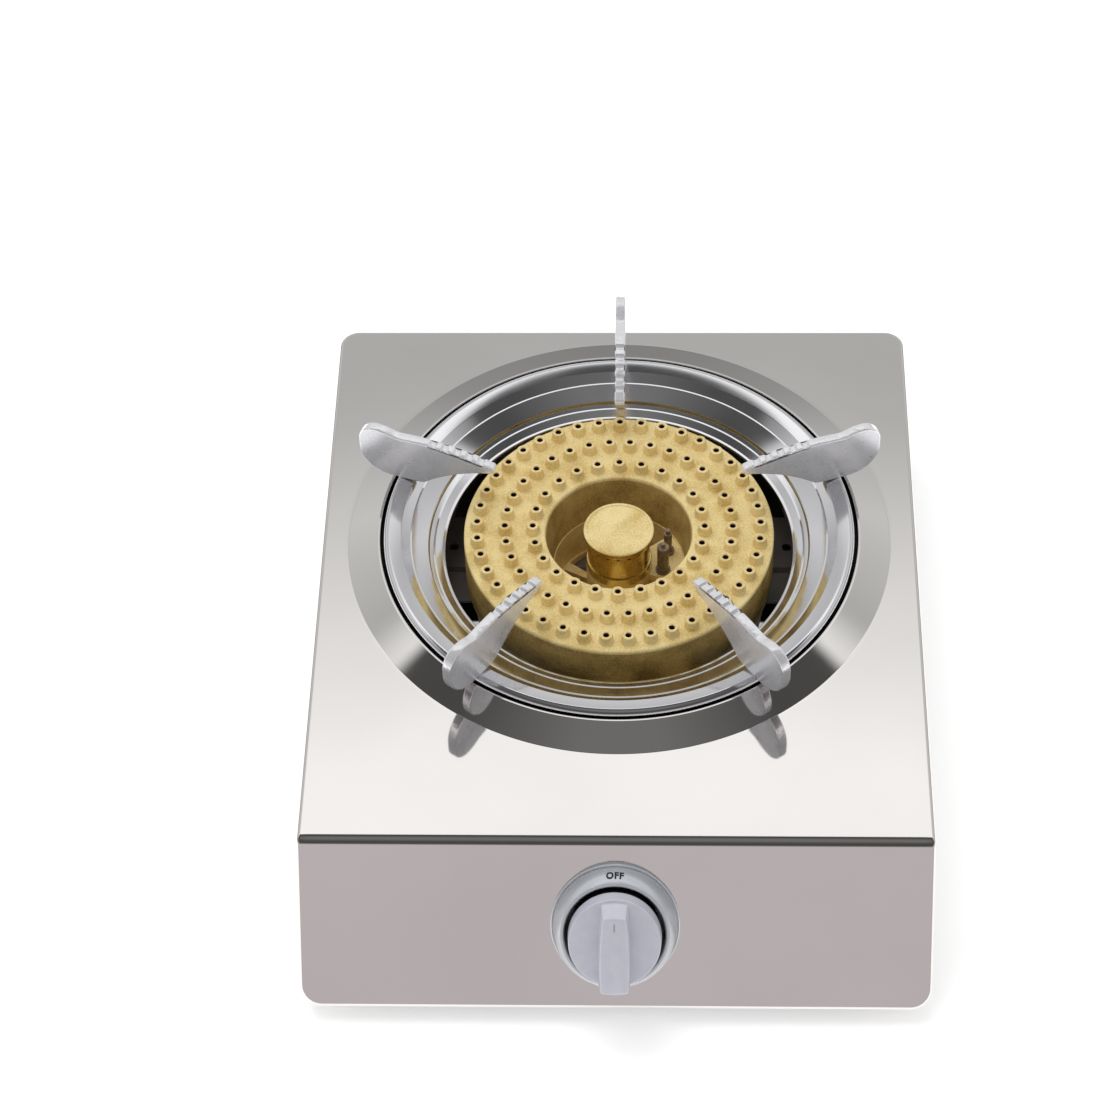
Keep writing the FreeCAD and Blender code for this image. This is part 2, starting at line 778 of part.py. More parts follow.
def make_side_housing():
    """Sides, back and bottom frame of one sheet, nested inside the top panel's turned edges."""
    body = new_body("side_housing")
    high = top - s.edge_radius - s.nest_gap
    wide = half_width - nest
    rear = back_y - nest
    cut = s.housing_front_cut
    radius = s.corner_radius - nest

    def slope_y(height):
        return bend_y - (top - height) * tilt_sin / tilt_cos + (s.edge_radius + s.nest_gap) / tilt_cos

    fold_block(body, [
        (slope_y(housing_low) + cut, housing_low), (rear, housing_low), (rear, high),
        (slope_y(high), high), (slope_y(housing_low + cut), housing_low + cut),
    ], wide, rear, housing_low, radius)
    hollow = doc.addObject("PartDesign::Body", "side_housing_hollow")
    hollow.Label = "side_housing_hollow"
    ahead, above = toe_y - s.panel_flange, top + s.panel_flange
    inner_rear, inner_low = rear - s.case_sheet, housing_low + s.case_sheet
    fold_block(hollow, [(ahead, inner_low), (inner_rear, inner_low), (inner_rear, above), (ahead, above)],
               wide - s.case_sheet, inner_rear, inner_low, radius - s.case_sheet)
    hollowed = feature(body, "Boolean")
    hollowed.setObjects([hollow])
    hollowed.Type = "Cut"
    floor = new_sketch(body, "XY_Plane", (0, 0, housing_low))
    edge_x = half_width - s.housing_flange
    add_rectangle(floor, -edge_x, toe_y + s.housing_flange, edge_x, back_y - s.housing_flange)
    pocket(body, floor, s.case_sheet + nest, backwards=True)
    floor_holes = new_sketch(body, "XY_Plane", (0, 0, housing_low))
    hole = s.screw_radius + s.screw_clearance
    for x, y in base_screw_places():
        add_circle(floor_holes, x, y, hole)
    for side_sign in (-1, 1):
        add_circle(floor_holes, side_sign * s.toe_screw_x, toe_y + s.toe_screw_inset, hole)
    pocket(body, floor_holes, s.case_sheet + nest, backwards=True)
    back_holes = new_sketch(body, "XZ_Plane", (0, 0, -rear))
    for side_sign in (-1, 1):
        add_circle(back_holes, side_sign * s.back_screw_x, top - s.back_screw_drop, hole)
    add_circle(back_holes, pipe_x, pipe_z, s.nipple_shank_radius + s.screw_clearance)
    pocket(body, back_holes, s.case_sheet + nest, backwards=True)
    side_holes = new_sketch(body, "YZ_Plane")
    for y, z in bridge_screw_places():
        add_circle(side_holes, y, z, hole)
    pocket(body, side_holes, case_width, both_sides=True)
    place(body)


def base_screw_places():
    rows = (-1, 0, 1)
    middle_y = (s.front_foot_y + s.rear_foot_y) / 2
    return [(side * base_screw_x, middle_y + row * s.base_screw_pitch) for side in (-1, 1) for row in rows]


def bridge_screw_places():
    middle_y = s.bridge_front_y + s.bridge_depth / 2
    return [(middle_y + side * s.bridge_screw_pitch / 2, bridge_z + s.bridge_screw_rise) for side in (-1, 1)]


def foot_places():
    return [(side * foot_x, y) for y in (s.front_foot_y, s.rear_foot_y) for side in (-1, 1)]


def make_base_plate():
    """Galvanised tray with vent slots, lying on the housing's bottom frame."""
    body = new_body("base_plate")
    plan = new_sketch(body, "XY_Plane", (0, 0, base_low))
    edge_x = half_width - s.base_inset
    front, rear = toe_y + s.base_front_inset, back_y - s.base_inset
    add_rectangle(plan, -edge_x, front, edge_x, rear)
    block = pad(body, plan, s.base_rim)
    half_rim = base_low + s.base_rim / 2
    corners = round_edges(body, block, s.base_corner_radius,
                          lambda middle, edge: near(abs(middle.x), edge_x) and near(middle.z, half_rim))
    shell(body, corners, s.base_sheet, lambda face: facing(face, (0, 0, 1)))
    holes = new_sketch(body, "XY_Plane", (0, 0, base_low))
    hole = s.screw_radius + s.screw_clearance
    for x, y in base_screw_places() + foot_places() + bracket_screw_places():
        add_circle(holes, x, y, hole)
    pocket(body, holes, s.base_sheet + nest, backwards=True)
    slots = new_sketch(body, "XY_Plane", (0, 0, base_low))
    reach = (s.vent_length - s.vent_width) / 2
    round_end = s.vent_width / 2
    left, right = s.vent_row_x - reach, s.vent_row_x + reach
    for row in range(int(s.vent_count.value)):
        y = s.vent_pitch * (row - (s.vent_count - 1) / 2) + (s.front_foot_y + s.rear_foot_y) / 2
        add_path(slots, [
            (left, y - round_end, round_end), (right, y - round_end),
            (right + round_end, y, round_end), (right, y + round_end, round_end),
            (left, y + round_end), (left - round_end, y, round_end),
        ])
    vents = pocket(body, slots, s.base_sheet + nest, backwards=True)
    mirrored(body, [vents], "YZ_Plane")
    place(body)


def make_foot(label, x, y):
    """Rubber foot with a sunk hole for its screw."""
    hole = s.screw_radius + s.screw_clearance
    body = make_revolved(label, [
        (s.foot_recess_radius, 0), (s.foot_radius, 0), (s.foot_top_radius, base_low), (hole, base_low),
        (hole, s.foot_recess_depth), (s.foot_recess_radius, s.foot_recess_depth),
    ])
    place(body, x, y)


def make_screws(label, screws, grip):
    """Equal pan-head screws as one group; each starts at its head's face and points into the work."""
    made = []
    for number, (x, y, z, axis, turn) in enumerate(screws, start=1):
        head = doc.addObject("Part::Cylinder", f"{label}_head_{number}")
        bind(head, "Radius", s.screw_head_radius)
        bind(head, "Height", s.screw_head_height)
        shank = doc.addObject("Part::Cylinder", f"{label}_shank_{number}")
        bind(shank, "Radius", s.screw_radius)
        bind(shank, "Height", s.screw_head_height + grip)
        joined = doc.addObject("Part::Fuse", f"{label}_{number}")
        joined.Base = head
        joined.Tool = shank
        slot = doc.addObject("Part::Box", f"{label}_slot_{number}")
        bind(slot, "Length", s.screw_head_radius * 2)
        bind(slot, "Width", s.screw_slot)
        bind(slot, "Height", s.screw_slot)
        bind(slot, "Placement.Base.x", -s.screw_head_radius)
        bind(slot, "Placement.Base.y", -s.screw_slot / 2)
        slotted = doc.addObject("Part::Cut", f"{label}_slotted_{number}")
        slotted.Base = joined
        slotted.Tool = slot
        place(slotted, x, y, z, axis, turn)
        made.append(slotted)
    group = doc.addObject("Part::Compound", label)
    group.Label = label
    group.Links = made
    pieces.append(group)


def make_case_screws():
    """Screws of the feet, the base plate and the top panel, and those of the burner's bridge."""
    upright = (0, 0, 1)
    head = s.screw_head_height
    make_screws("foot_screws", [(x, y, s.foot_recess_depth - head, upright, 0) for x, y in foot_places()],
                base_high - s.foot_recess_depth + s.screw_grip)
    make_screws("base_screws", [(x, y, housing_low - head, upright, 0) for x, y in base_screw_places()],
                s.screw_grip)
    toe = [(side * s.toe_screw_x, toe_y + s.toe_screw_inset, s.ground_clearance - head, upright, 0)
           for side in (-1, 1)]
    back = [(side * s.back_screw_x, back_y + head, top - s.back_screw_drop, (1, 0, 0), 90)
            for side in (-1, 1)]
    make_screws("panel_screws", toe + back, s.screw_grip)
    outside = half_width - nest + head
    make_screws("bridge_screws", [(side * outside, y, z, (0, 1, 0), -90 * side)
                                  for side in (-1, 1) for y, z in bridge_screw_places()], s.screw_grip)
    under_bridge = bridge_z - s.bridge_sheet - head
    make_screws("burner_screws", [(side * s.head_foot_x, s.head_foot_y, under_bridge, upright, 0)
                                  for side in (-1, 1)], s.bridge_sheet + s.screw_grip)
    make_screws("bracket_screws", [(x, y, base_low - head, upright, 0) for x, y in bracket_screw_places()],
                s.screw_grip)
    out = s.screw_head_height + s.bracket_sheet - s.valve_face_depth
    make_screws("valve_screws", [(side * s.valve_screw_x, knob_y - out * tilt_cos, knob_z + out * tilt_sin,
                                  (1, 0, 0), 270 - s.front_tilt) for side in (-1, 1)],
                s.bracket_sheet + s.valve_flange_thickness)


def bracket_screw_places():
    y = bracket_y + s.bracket_foot / 2
    return [(s.bracket_middle_x + side * s.bracket_screw_x, y) for side in (-1, 1)]


def make_burner_bridge():
    """Black pressed strip across the case, with a bead and upturned ends, carrying the burner."""
    body = new_body("burner_bridge")
    section = new_sketch(body, "YZ_Plane")
    front, rear = s.bridge_front_y, s.bridge_front_y + s.bridge_depth
    bead_front, bead_rear = s.bead_y - s.bead_width / 2, s.bead_y + s.bead_width / 2
    raised = bridge_z + s.bead_height
    add_path(section, sheet_section([
        (rear, bridge_z), (bead_rear, bridge_z), (bead_rear - s.bead_slope, raised),
        (bead_front + s.bead_slope, raised), (bead_front, bridge_z), (front, bridge_z),
    ], s.bridge_sheet))
    reach = half_width - nest - s.case_sheet - s.nest_gap
    pad(body, section, 2 * reach, both_sides=True)
    tab = new_sketch(body, "YZ_Plane", (0, 0, reach - s.bridge_sheet))
    add_rectangle(tab, front + s.bridge_tab_inset, bridge_z - s.bridge_sheet,
                  rear - s.bridge_tab_inset, bridge_z + s.bridge_tab_height)
    upright = pad(body, tab, s.bridge_sheet)
    mirrored(body, [upright], "YZ_Plane")
    holes = new_sketch(body, "XY_Plane", (0, 0, bridge_z))
    hole = s.screw_radius + s.screw_clearance
    for side in (-1, 1):
        add_circle(holes, side * s.head_foot_x, s.head_foot_y, hole)
        add_circle(holes, side * s.bridge_hole_x, s.bridge_hole_y, s.bridge_hole_radius)
    pocket(body, holes, 2 * s.bridge_tab_height, both_sides=True)
    side_holes = new_sketch(body, "YZ_Plane")
    for y, z in bridge_screw_places():
        add_circle(side_holes, y, z, hole)
    pocket(body, side_holes, case_width, both_sides=True)
    place(body)


def add_sector(sketch, inner, outer, start, end):
    """A ring sector between two radii and two angles, less than half a turn apart."""
    first = [(radius * cosine(start), radius * sine(start)) for radius in (inner, outer)]
    last = [(radius * cosine(end), radius * sine(end)) for radius in (inner, outer)]
    add_path(sketch, [(*first[0], -inner), first[1], (*last[1], outer), last[0]])


def make_burner_head():
    """Cast head: hub, gas trough and both mixing tubes in one, standing on two feet."""
    seat = top - s.cap_seat_drop
    rim = seat + s.cap_locate
    low = top - s.head_depth
    floor = low + s.head_floor
    hub_top = top - s.centre_seat_drop
    spigot = s.centre_skirt_radius - s.centre_skirt_wall - s.centre_clearance
    rim_outer = cap_radius - s.cap_wall - s.cap_clearance
    ledge = cap_radius - s.cap_clearance
    body = make_revolved("burner_head", [
        (s.hub_bore_radius, hub_top + s.hub_spigot), (s.hub_bore_radius, floor), (0, floor), (0, low),
        (rim_outer, low), (rim_outer, seat - s.head_ledge * 2), (ledge, seat - s.head_ledge), (ledge, seat),
        (rim_outer, seat), (rim_outer, rim),
        (rim_outer - s.head_wall, rim), (rim_outer - s.head_wall, floor),
        (s.trough_inner_radius, floor), (s.trough_inner_radius, rim), (s.inner_rim_radius, rim),
        (s.inner_rim_radius, seat), (s.moat_radius, seat), (s.moat_radius, floor), (s.hub_radius, floor),
        (s.hub_radius, hub_top), (spigot, hub_top), (spigot, hub_top + s.hub_spigot),
    ])
    opening = new_sketch(body, "XY_Plane", (0, 0, low))
    hub_gap = s.hub_radius + s.moat_opening_gap
    wall_gap = s.moat_radius - s.moat_opening_gap
    middle = (s.moat_opening_start + s.moat_opening_end) / 2
    add_sector(opening, hub_gap, wall_gap, s.moat_opening_start, middle - s.moat_web_angle)
    add_sector(opening, hub_gap, wall_gap, middle + s.moat_web_angle, s.moat_opening_end)
    pocket(body, opening, s.head_floor + nest, backwards=True)
    tubes = new_sketch(body, "XZ_Plane", (0, 0, -mouth_y))
    add_circle(tubes, 0, tube_z, s.tube_radius)
    pad(body, tubes, -mouth_y - s.hub_bore_radius, backwards=True)
    outer_tube = new_sketch(body, "XZ_Plane", (0, 0, -mouth_y))
    add_circle(outer_tube, s.outer_tube_x, tube_z, s.tube_radius)
    pad(body, outer_tube, -mouth_y - s.outer_tube_end, backwards=True)
    mouths = new_sketch(body, "XZ_Plane", (0, 0, -mouth_y))
    add_circle(mouths, 0, tube_z, s.mouth_radius)
    add_circle(mouths, s.outer_tube_x, tube_z, s.mouth_radius)
    pad(body, mouths, s.mouth_thickness, backwards=True)
    shelf = new_sketch(body, "XY_Plane", (0, 0, top - s.shelf_drop))
    add_sector(shelf, s.hub_radius - s.moat_opening_gap, s.moat_radius + s.moat_opening_gap,
               s.shelf_start_angle, s.shelf_end_angle)
    pad(body, shelf, s.shelf_thickness, backwards=True)
    feet = new_sketch(body, "XY_Plane", (0, 0, bridge_z))
    for side in (-1, 1):
        add_circle(feet, side * s.head_foot_x, s.head_foot_y, s.head_foot_radius)
    pad(body, feet, s.head_foot_height + s.head_floor / 2)
    inner_bore = new_sketch(body, "XZ_Plane", (0, 0, -mouth_y))
    add_circle(inner_bore, 0, tube_z, s.tube_bore_radius)
    pocket(body, inner_bore, -mouth_y)
    outer_bore = new_sketch(body, "XZ_Plane", (0, 0, -mouth_y))
    add_circle(outer_bore, s.outer_tube_x, tube_z, s.tube_bore_radius)
    pocket(body, outer_bore, -mouth_y - s.outer_tube_end + s.head_wall)
    post_holes = new_sketch(body, "XY_Plane", (0, 0, top - s.shelf_drop))
    add_circle(post_holes, s.electrode_x, s.electrode_y, s.electrode_radius + s.post_clearance)
    add_circle(post_holes, s.probe_x, s.probe_y, s.probe_radius + s.post_clearance)
    pocket(body, post_holes, s.shelf_thickness + nest)
    screw_holes = new_sketch(body, "XY_Plane", (0, 0, bridge_z))
    for side in (-1, 1):
        add_circle(screw_holes, side * s.head_foot_x, s.head_foot_y, s.screw_radius + s.screw_clearance)
    pocket(body, screw_holes, s.head_foot_height + s.head_floor - nest, backwards=True)
    # The shelf crosses the seam of the turned walls, so their faces stay unmerged
    for step in body.Group:
        if step.isDerivedFrom("PartDesign::FeatureAddSub"):
            step.Refine = False
    place(body)


def add_nozzles(body, ring_radius, count, start_angle):
    """One ring of cone nozzles on the cap's top, each with its port through the plate."""
    plate_top = top + s.cap_rise
    made = []
    for kind, low, height in (("AdditiveCone", plate_top - s.nozzle_sink, s.nozzle_height + s.nozzle_sink),
                              ("SubtractiveCylinder", plate_top - s.cap_plate - nest,
                               s.cap_plate + s.nozzle_height + 2 * nest)):
        part = body.newObject(f"PartDesign::{kind}", f"{body.Label}_{kind.lower()}")
        part.AttachmentSupport = [(origin_part(body, "XY_Plane"), "")]
        part.MapMode = "FlatFace"
        bind(part, "AttachmentOffset.Base.x", ring_radius * cosine(start_angle))
        bind(part, "AttachmentOffset.Base.y", ring_radius * sine(start_angle))
        bind(part, "AttachmentOffset.Base.z", low)
        bind(part, "Height", height)
        made.append(part)
    bind(made[0], "Radius1", s.nozzle_base_radius)
    bind(made[0], "Radius2", s.nozzle_top_radius)
    bind(made[1], "Radius", s.port_radius)
    around(body, made, count)


def make_burner_cap():
    """Loose cast ring over the gas trough, with three rings of nozzles."""
    seat = top - s.cap_seat_drop
    high = top + s.cap_rise
    ceiling = high - s.cap_plate
    body = make_revolved("burner_cap", [
        (s.cap_eye_low_radius, seat), (s.cap_eye_low_radius + s.cap_wall, seat),
        (s.cap_eye_radius + s.cap_wall, ceiling), (cap_radius - s.cap_wall, ceiling),
        (cap_radius - s.cap_wall, seat), (cap_radius, seat), (cap_radius, high - s.cap_edge_round),
        (cap_radius - s.cap_edge_round, high, s.cap_edge_round),
        (s.cap_eye_radius + s.cap_edge_round, high),
        (s.cap_eye_radius, high - s.cap_edge_round, s.cap_edge_round),
    ])
    add_nozzles(body, inner_ring, s.inner_ring_count, as_size(90))
    add_nozzles(body, middle_ring, s.middle_ring_count, 90 + 180 / s.middle_ring_count)
    add_nozzles(body, outer_ring, s.outer_ring_count, as_size(90))
    place(body)


def make_centre_cap():
    """Loose turned brass cap over the hub, with small flame ports round its skirt."""
    seat = top - s.centre_seat_drop
    high = top + s.centre_rise
    lip = high - s.centre_lip
    bevel = s.centre_bevel
    bore = s.centre_skirt_radius - s.centre_skirt_wall
    body = make_revolved("centre_cap", [
        (bore, seat), (s.centre_foot_radius, seat), (s.centre_foot_radius, seat + s.centre_foot_height),
        (s.centre_skirt_radius, seat + s.centre_foot_height), (s.centre_skirt_radius, lip),
        (s.centre_radius, lip), (s.centre_radius, high - bevel), (s.centre_radius - bevel, high), (0, high),
        (0, high - s.centre_lip), (bore, high - s.centre_lip),
    ])
    slot = new_sketch(body, "XZ_Plane")
    low = lip - s.centre_slot_drop - s.centre_slot_height
    half_slot = s.centre_slot_width / 2
    add_path(slot, [(-half_slot, low), (half_slot, low), (0, low + s.centre_slot_height)])
    through = pocket(body, slot, 2 * s.centre_radius, both_sides=True)
    around(body, [through], s.centre_slot_count / 2)
    place(body)


def make_post(label, x, y, radius, collar, drop):
    """A ceramic post that stands through the shelf and rests on its collar."""
    shelf = top - s.shelf_drop
    high = top - drop
    body = make_revolved(label, [
        (0, shelf - s.electrode_tail), (radius, shelf - s.electrode_tail), (radius, shelf), (collar, shelf),
        (collar, shelf + s.post_collar_height), (radius, shelf + s.post_collar_height),
        (radius, high - s.post_nose),
        (s.post_wire_radius, high - s.post_nose), (s.post_wire_radius, high), (0, high),
    ])
    place(body, x, y)


def make_jet(label, x):
    """Brass jet: threaded shank in the manifold, hexagon, collar and a drilled tip."""
    reach = s.jet_reach
    body = make_revolved(label, [
        (0, s.nest_gap), (s.jet_shank_radius, s.nest_gap), (s.jet_shank_radius, s.manifold_radius),
        (s.jet_collar_radius, s.manifold_radius), (s.jet_collar_radius, reach),
        (s.jet_tip_radius, reach + s.jet_tip_length), (0, reach + s.jet_tip_length),
    ])
    hexagon = new_sketch(body, "XY_Plane", (0, 0, s.manifold_radius))
    add_hexagon(hexagon, s.jet_hex_radius)
    pad(body, hexagon, s.jet_hex_thickness)
    bore = new_sketch(body, "XY_Plane")
    add_circle(bore, 0, 0, s.jet_bore_radius)
    pocket(body, bore, reach + 2 * s.jet_tip_length, backwards=True)
    place_along_back(body, x, manifold_y, tube_z)


def make_air_shutter(label, x):
    """Sheet disc with two air windows and a lever, turning on the jet's collar."""
    body = new_body(label)
    rear = s.jet_reach - s.shutter_gap
    disc = new_sketch(body, "XY_Plane", (0, 0, rear - s.shutter_sheet))
    add_circle(disc, 0, 0, s.shutter_radius)
    pad(body, disc, s.shutter_sheet)
    lever = new_sketch(body, "XY_Plane", (0, 0, rear - s.shutter_sheet))
    half = s.shutter_lever_width / 2
    add_path(lever, [
        (half, s.shutter_window_outer), (half, s.shutter_lever_reach - half),
        (0, s.shutter_lever_reach, half), (-half, s.shutter_lever_reach - half, half),
        (-half, s.shutter_window_outer),
    ])
    pad(body, lever, s.shutter_sheet)
    openings = new_sketch(body, "XY_Plane", (0, 0, rear))
    add_circle(openings, 0, 0, s.jet_collar_radius + s.shutter_bore_gap)
    spread = s.shutter_window_half_angle
    for middle in (0, 180):
        add_sector(openings, s.shutter_window_inner, s.shutter_window_outer,
                   middle - spread, middle + spread)
    pocket(body, openings, s.shutter_sheet + s.shutter_gap)
    place_along_back(body, x, manifold_y, tube_z)


def make_valve_body():
    """Cast gas tap: barrel behind the knob, neck, manifold for both jets and inlet boss."""
    body = new_body("valve_body")
    barrel = new_sketch(body, "XY_Plane", (0, 0, -valve_end))
    add_circle(barrel, 0, 0, s.barrel_radius)
    pad(body, barrel, valve_end - s.valve_face_depth)
    flange = new_sketch(body, "XY_Plane", (0, 0, -s.valve_face_depth))
    reach, ear = s.valve_screw_x, s.valve_flange_radius
    add_path(flange, [
        (-reach, -ear, ear), (reach, -ear), (reach + ear, 0, ear),
        (reach, ear, ear), (-reach, ear), (-reach - ear, 0, ear),
    ])
    pad(body, flange, s.valve_flange_thickness, backwards=True)
    neck = new_sketch(body, "XZ_Plane")
    add_circle(neck, 0, -s.manifold_depth, s.neck_radius)
    pad(body, neck, manifold_up, backwards=True)
    manifold = new_sketch(body, "YZ_Plane", (0, 0, -s.manifold_overhang))
    add_circle(manifold, manifold_up, -s.manifold_depth, s.manifold_radius)
    pad(body, manifold, s.outer_tube_x + 2 * s.manifold_overhang)
    inlet = new_sketch(body, "YZ_Plane")
    add_circle(inlet, 0, -s.manifold_depth, s.inlet_radius)
    pad(body, inlet, s.inlet_reach, backwards=True)
    stem_bore = new_sketch(body, "XY_Plane", (0, 0, -s.valve_face_depth))
    add_circle(stem_bore, 0, 0, s.stem_radius + s.stem_fit)
    pocket(body, stem_bore, valve_end - s.valve_face_depth - s.valve_end_wall)
    inlet_bore = new_sketch(body, "YZ_Plane")
    add_circle(inlet_bore, 0, -s.manifold_depth, s.pipe_bore_radius)
    pocket(body, inlet_bore, s.inlet_reach + nest)
    jet_holes = new_sketch(body, "XY_Plane", (0, manifold_up, -s.manifold_depth), (1, 0, 0), s.front_tilt)
    for x in (0, s.outer_tube_x):
        add_circle(jet_holes, x, 0, s.jet_shank_radius + s.jet_fit)
    pocket(body, jet_holes, s.manifold_radius + nest)
    screw_holes = new_sketch(body, "XY_Plane", (0, 0, -s.valve_face_depth))
    for side in (-1, 1):
        add_circle(screw_holes, side * s.valve_screw_x, 0, s.screw_radius + s.screw_clearance)
    pocket(body, screw_holes, s.valve_flange_thickness + nest)
    place_on_front(body)


def make_valve_plunger():
    """Brass plunger that the stem pushes inside the barrel."""
    high = -s.stem_depth - s.plunger_gap
    radius = s.stem_radius - s.stem_fit
    body = make_revolved("valve_plunger", [
        (0, high - s.plunger_length), (radius / 2, high - s.plunger_length),
        (radius, high - s.plunger_length / 2),
        (radius, high), (0, high),
    ])
    place_on_front(body)


def add_flatted_circle(sketch, radius, flat):
    """A circle with a flat on one side, as on the valve stem."""
    edge = root(radius * radius - flat * flat)
    add_path(sketch, [(flat, -edge, radius), (flat, edge), (-radius, 0, radius)])


def make_valve_stem():
    """Steel stem with a flat where the knob is pushed on."""
    body = make_revolved("valve_stem", [
        (0, -s.stem_depth), (s.stem_radius, -s.stem_depth),
        (s.stem_radius, s.stem_shoulder), (0, s.stem_shoulder),
    ])
    flatted = new_sketch(body, "XY_Plane", (0, 0, s.stem_shoulder))
    add_flatted_circle(flatted, s.stem_radius, s.stem_flat)
    pad(body, flatted, s.stem_height - s.stem_shoulder)
    place_on_front(body)


def make_valve_bracket():
    """Folded sheet that carries the valve and the igniter above the base plate."""
    body = new_body("valve_bracket")
    section = new_sketch(body, "YZ_Plane", (0, 0, s.bracket_middle_x))
    add_path(section, sheet_section([
        (s.bracket_top, -bracket_front), (bracket_low, -bracket_front),
        (bracket_low + s.bracket_foot * tilt_sin, -bracket_front - s.bracket_foot * tilt_cos),
    ], s.bracket_sheet))
    pad(body, section, s.bracket_width, both_sides=True)
    holes = new_sketch(body, "XY_Plane", (0, 0, -bracket_front))
    add_circle(holes, 0, 0, s.stem_radius + s.bracket_hole_gap)
    add_circle(holes, s.piezo_x, 0, s.piezo_radius + s.post_clearance)
    for side in (-1, 1):
        add_circle(holes, side * s.valve_screw_x, 0, s.screw_radius + s.screw_clearance)
    pocket(body, holes, s.bracket_sheet + nest)
    foot_holes = new_sketch(body, "XY_Plane", (0, bracket_low, -bracket_front), (1, 0, 0), s.front_tilt - 90)
    for side in (-1, 1):
        add_circle(foot_holes, s.bracket_middle_x + side * s.bracket_screw_x, s.bracket_foot / 2,
                   s.screw_radius + s.screw_clearance)
    pocket(body, foot_holes, 2 * s.bracket_sheet + nest, both_sides=True)
    place_on_front(body)


def make_piezo_igniter():
    """Spark unit beside the valve, held by its brim in the bracket."""
    brim = s.piezo_radius + s.piezo_brim
    pin = s.piezo_radius / 2
    seat = -bracket_front
    end = seat - s.piezo_length
    body = make_revolved("piezo_igniter", [
        (0, end), (s.piezo_radius - s.piezo_brim, end), (s.piezo_radius, end + s.piezo_brim),
        (s.piezo_radius, seat), (brim, seat), (brim, seat + s.piezo_brim), (pin, seat + s.piezo_brim),
        (pin, seat + 2 * s.piezo_brim), (0, seat + 2 * s.piezo_brim),
    ])
    place(body, s.piezo_x, knob_y, knob_z, (1, 0, 0), 90 - s.front_tilt)


def grip_outline(sketch, inset, high):
    """Outline of the grip bar: bowed sides and ends."""
    low_y, high_y = inset - s.grip_low + s.grip_end_bulge, high - s.grip_end_bulge
    low_x, high_x = s.grip_low_width / 2 - inset, s.grip_high_width / 2 - inset
    points = [(-low_x, low_y), (low_x, low_y), (high_x, high_y), (-high_x, high_y)]
    bulges = [s.grip_side_bulge, s.grip_end_bulge, s.grip_side_bulge, s.grip_end_bulge]
    path = []
    for index, point in enumerate(points):
        path.append((*point, bulge_radius(points[index - 1], point, bulges[index])))
    add_path(sketch, path)


def make_knob():
    """Hollow knob with a raised grip bar across its face."""
    face = s.knob_face_height
    wall = s.knob_wall
    body = make_revolved("knob", [
        (s.knob_skirt_radius - wall, knob_skirt), (s.knob_skirt_radius, knob_skirt),
        (s.knob_radius, face - s.knob_rim_round), (s.knob_radius - s.knob_rim_round, face, s.knob_rim_round),
        (0, face), (0, knob_skirt), (s.knob_hub_radius, knob_skirt),
        (s.knob_hub_radius, face - wall), (s.knob_radius - wall, face - wall),
    ])
    low = new_sketch(body, "XY_Plane", (0, 0, face - wall / 2))
    grip_outline(low, as_size(0), s.grip_high)
    high = new_sketch(body, "XY_Plane", (0, 0, s.grip_height))
    grip_outline(high, s.grip_draft, s.grip_high - s.grip_high_set)
    grip = feature(body, "AdditiveLoft", low)
    grip.Sections = [high]
    grip.Ruled = True
    round_edges(body, grip, s.grip_round, lambda middle, edge: near(middle.z, s.grip_height))
    bore = new_sketch(body, "XY_Plane", (0, 0, knob_skirt))
    add_flatted_circle(bore, s.stem_radius + s.stem_fit, s.stem_flat + s.stem_fit)
    pocket(body, bore, s.stem_height + s.plunger_gap - knob_skirt, backwards=True)
    place_on_front(body)


def make_knob_bezel():
    """Domed ring round the knob, its spigot held in the panel's hole."""
    foot = (s.bezel_dome_radius, s.bezel_dome_foot)
    crest = (s.bezel_crest_radius, s.bezel_height)
    bevel = s.bezel_eye_bevel
    body = make_revolved("knob_bezel", [
        (s.bezel_eye_radius, -s.bezel_spigot_depth), (s.bezel_spigot_radius, -s.bezel_spigot_depth),
        (s.bezel_spigot_radius, 0), (s.bezel_radius, 0), (s.bezel_radius, s.bezel_brim), foot,
        (*crest, bulge_radius(foot, crest, s.bezel_dome_bulge)),
        (s.bezel_eye_radius + bevel, s.bezel_height), (s.bezel_eye_radius, s.bezel_height - bevel),
    ])
    place_on_front(body)


def make_gas_pipe():
    """Bent aluminium tube from the valve's inlet to the hose nipple."""
    body = new_body("gas_pipe")
    route = new_sketch(body, "XY_Plane", (0, 0, pipe_z))
    rear = back_y - nest - s.nipple_shank_length
    add_path(route, [
        (-s.inlet_reach, pipe_y), (pipe_x + s.pipe_bend, pipe_y),
        (pipe_x, pipe_y + s.pipe_bend, -s.pipe_bend), (pipe_x, rear),
    ], closed=False)
    section = new_sketch(body, "YZ_Plane", (0, 0, -s.inlet_reach))
    add_circle(section, pipe_y, pipe_z, s.pipe_radius)
    add_circle(section, pipe_y, pipe_z, s.pipe_bore_radius)
    tube = feature(body, "AdditivePipe", section)
    tube.Spine = (route, [])
    place(body)


def make_pipe_nut():
    """Union nut that holds the pipe to the valve's inlet."""
    body = new_body("pipe_nut")
    outline = new_sketch(body, "YZ_Plane", (0, 0, -s.inlet_reach))
    add_hexagon(outline, s.pipe_nut_flats)
    add_circle(outline, 0, 0, s.pipe_radius + s.pipe_fit)
    pad(body, outline, s.pipe_nut_length, backwards=True)
    place(body, 0, pipe_y, pipe_z)


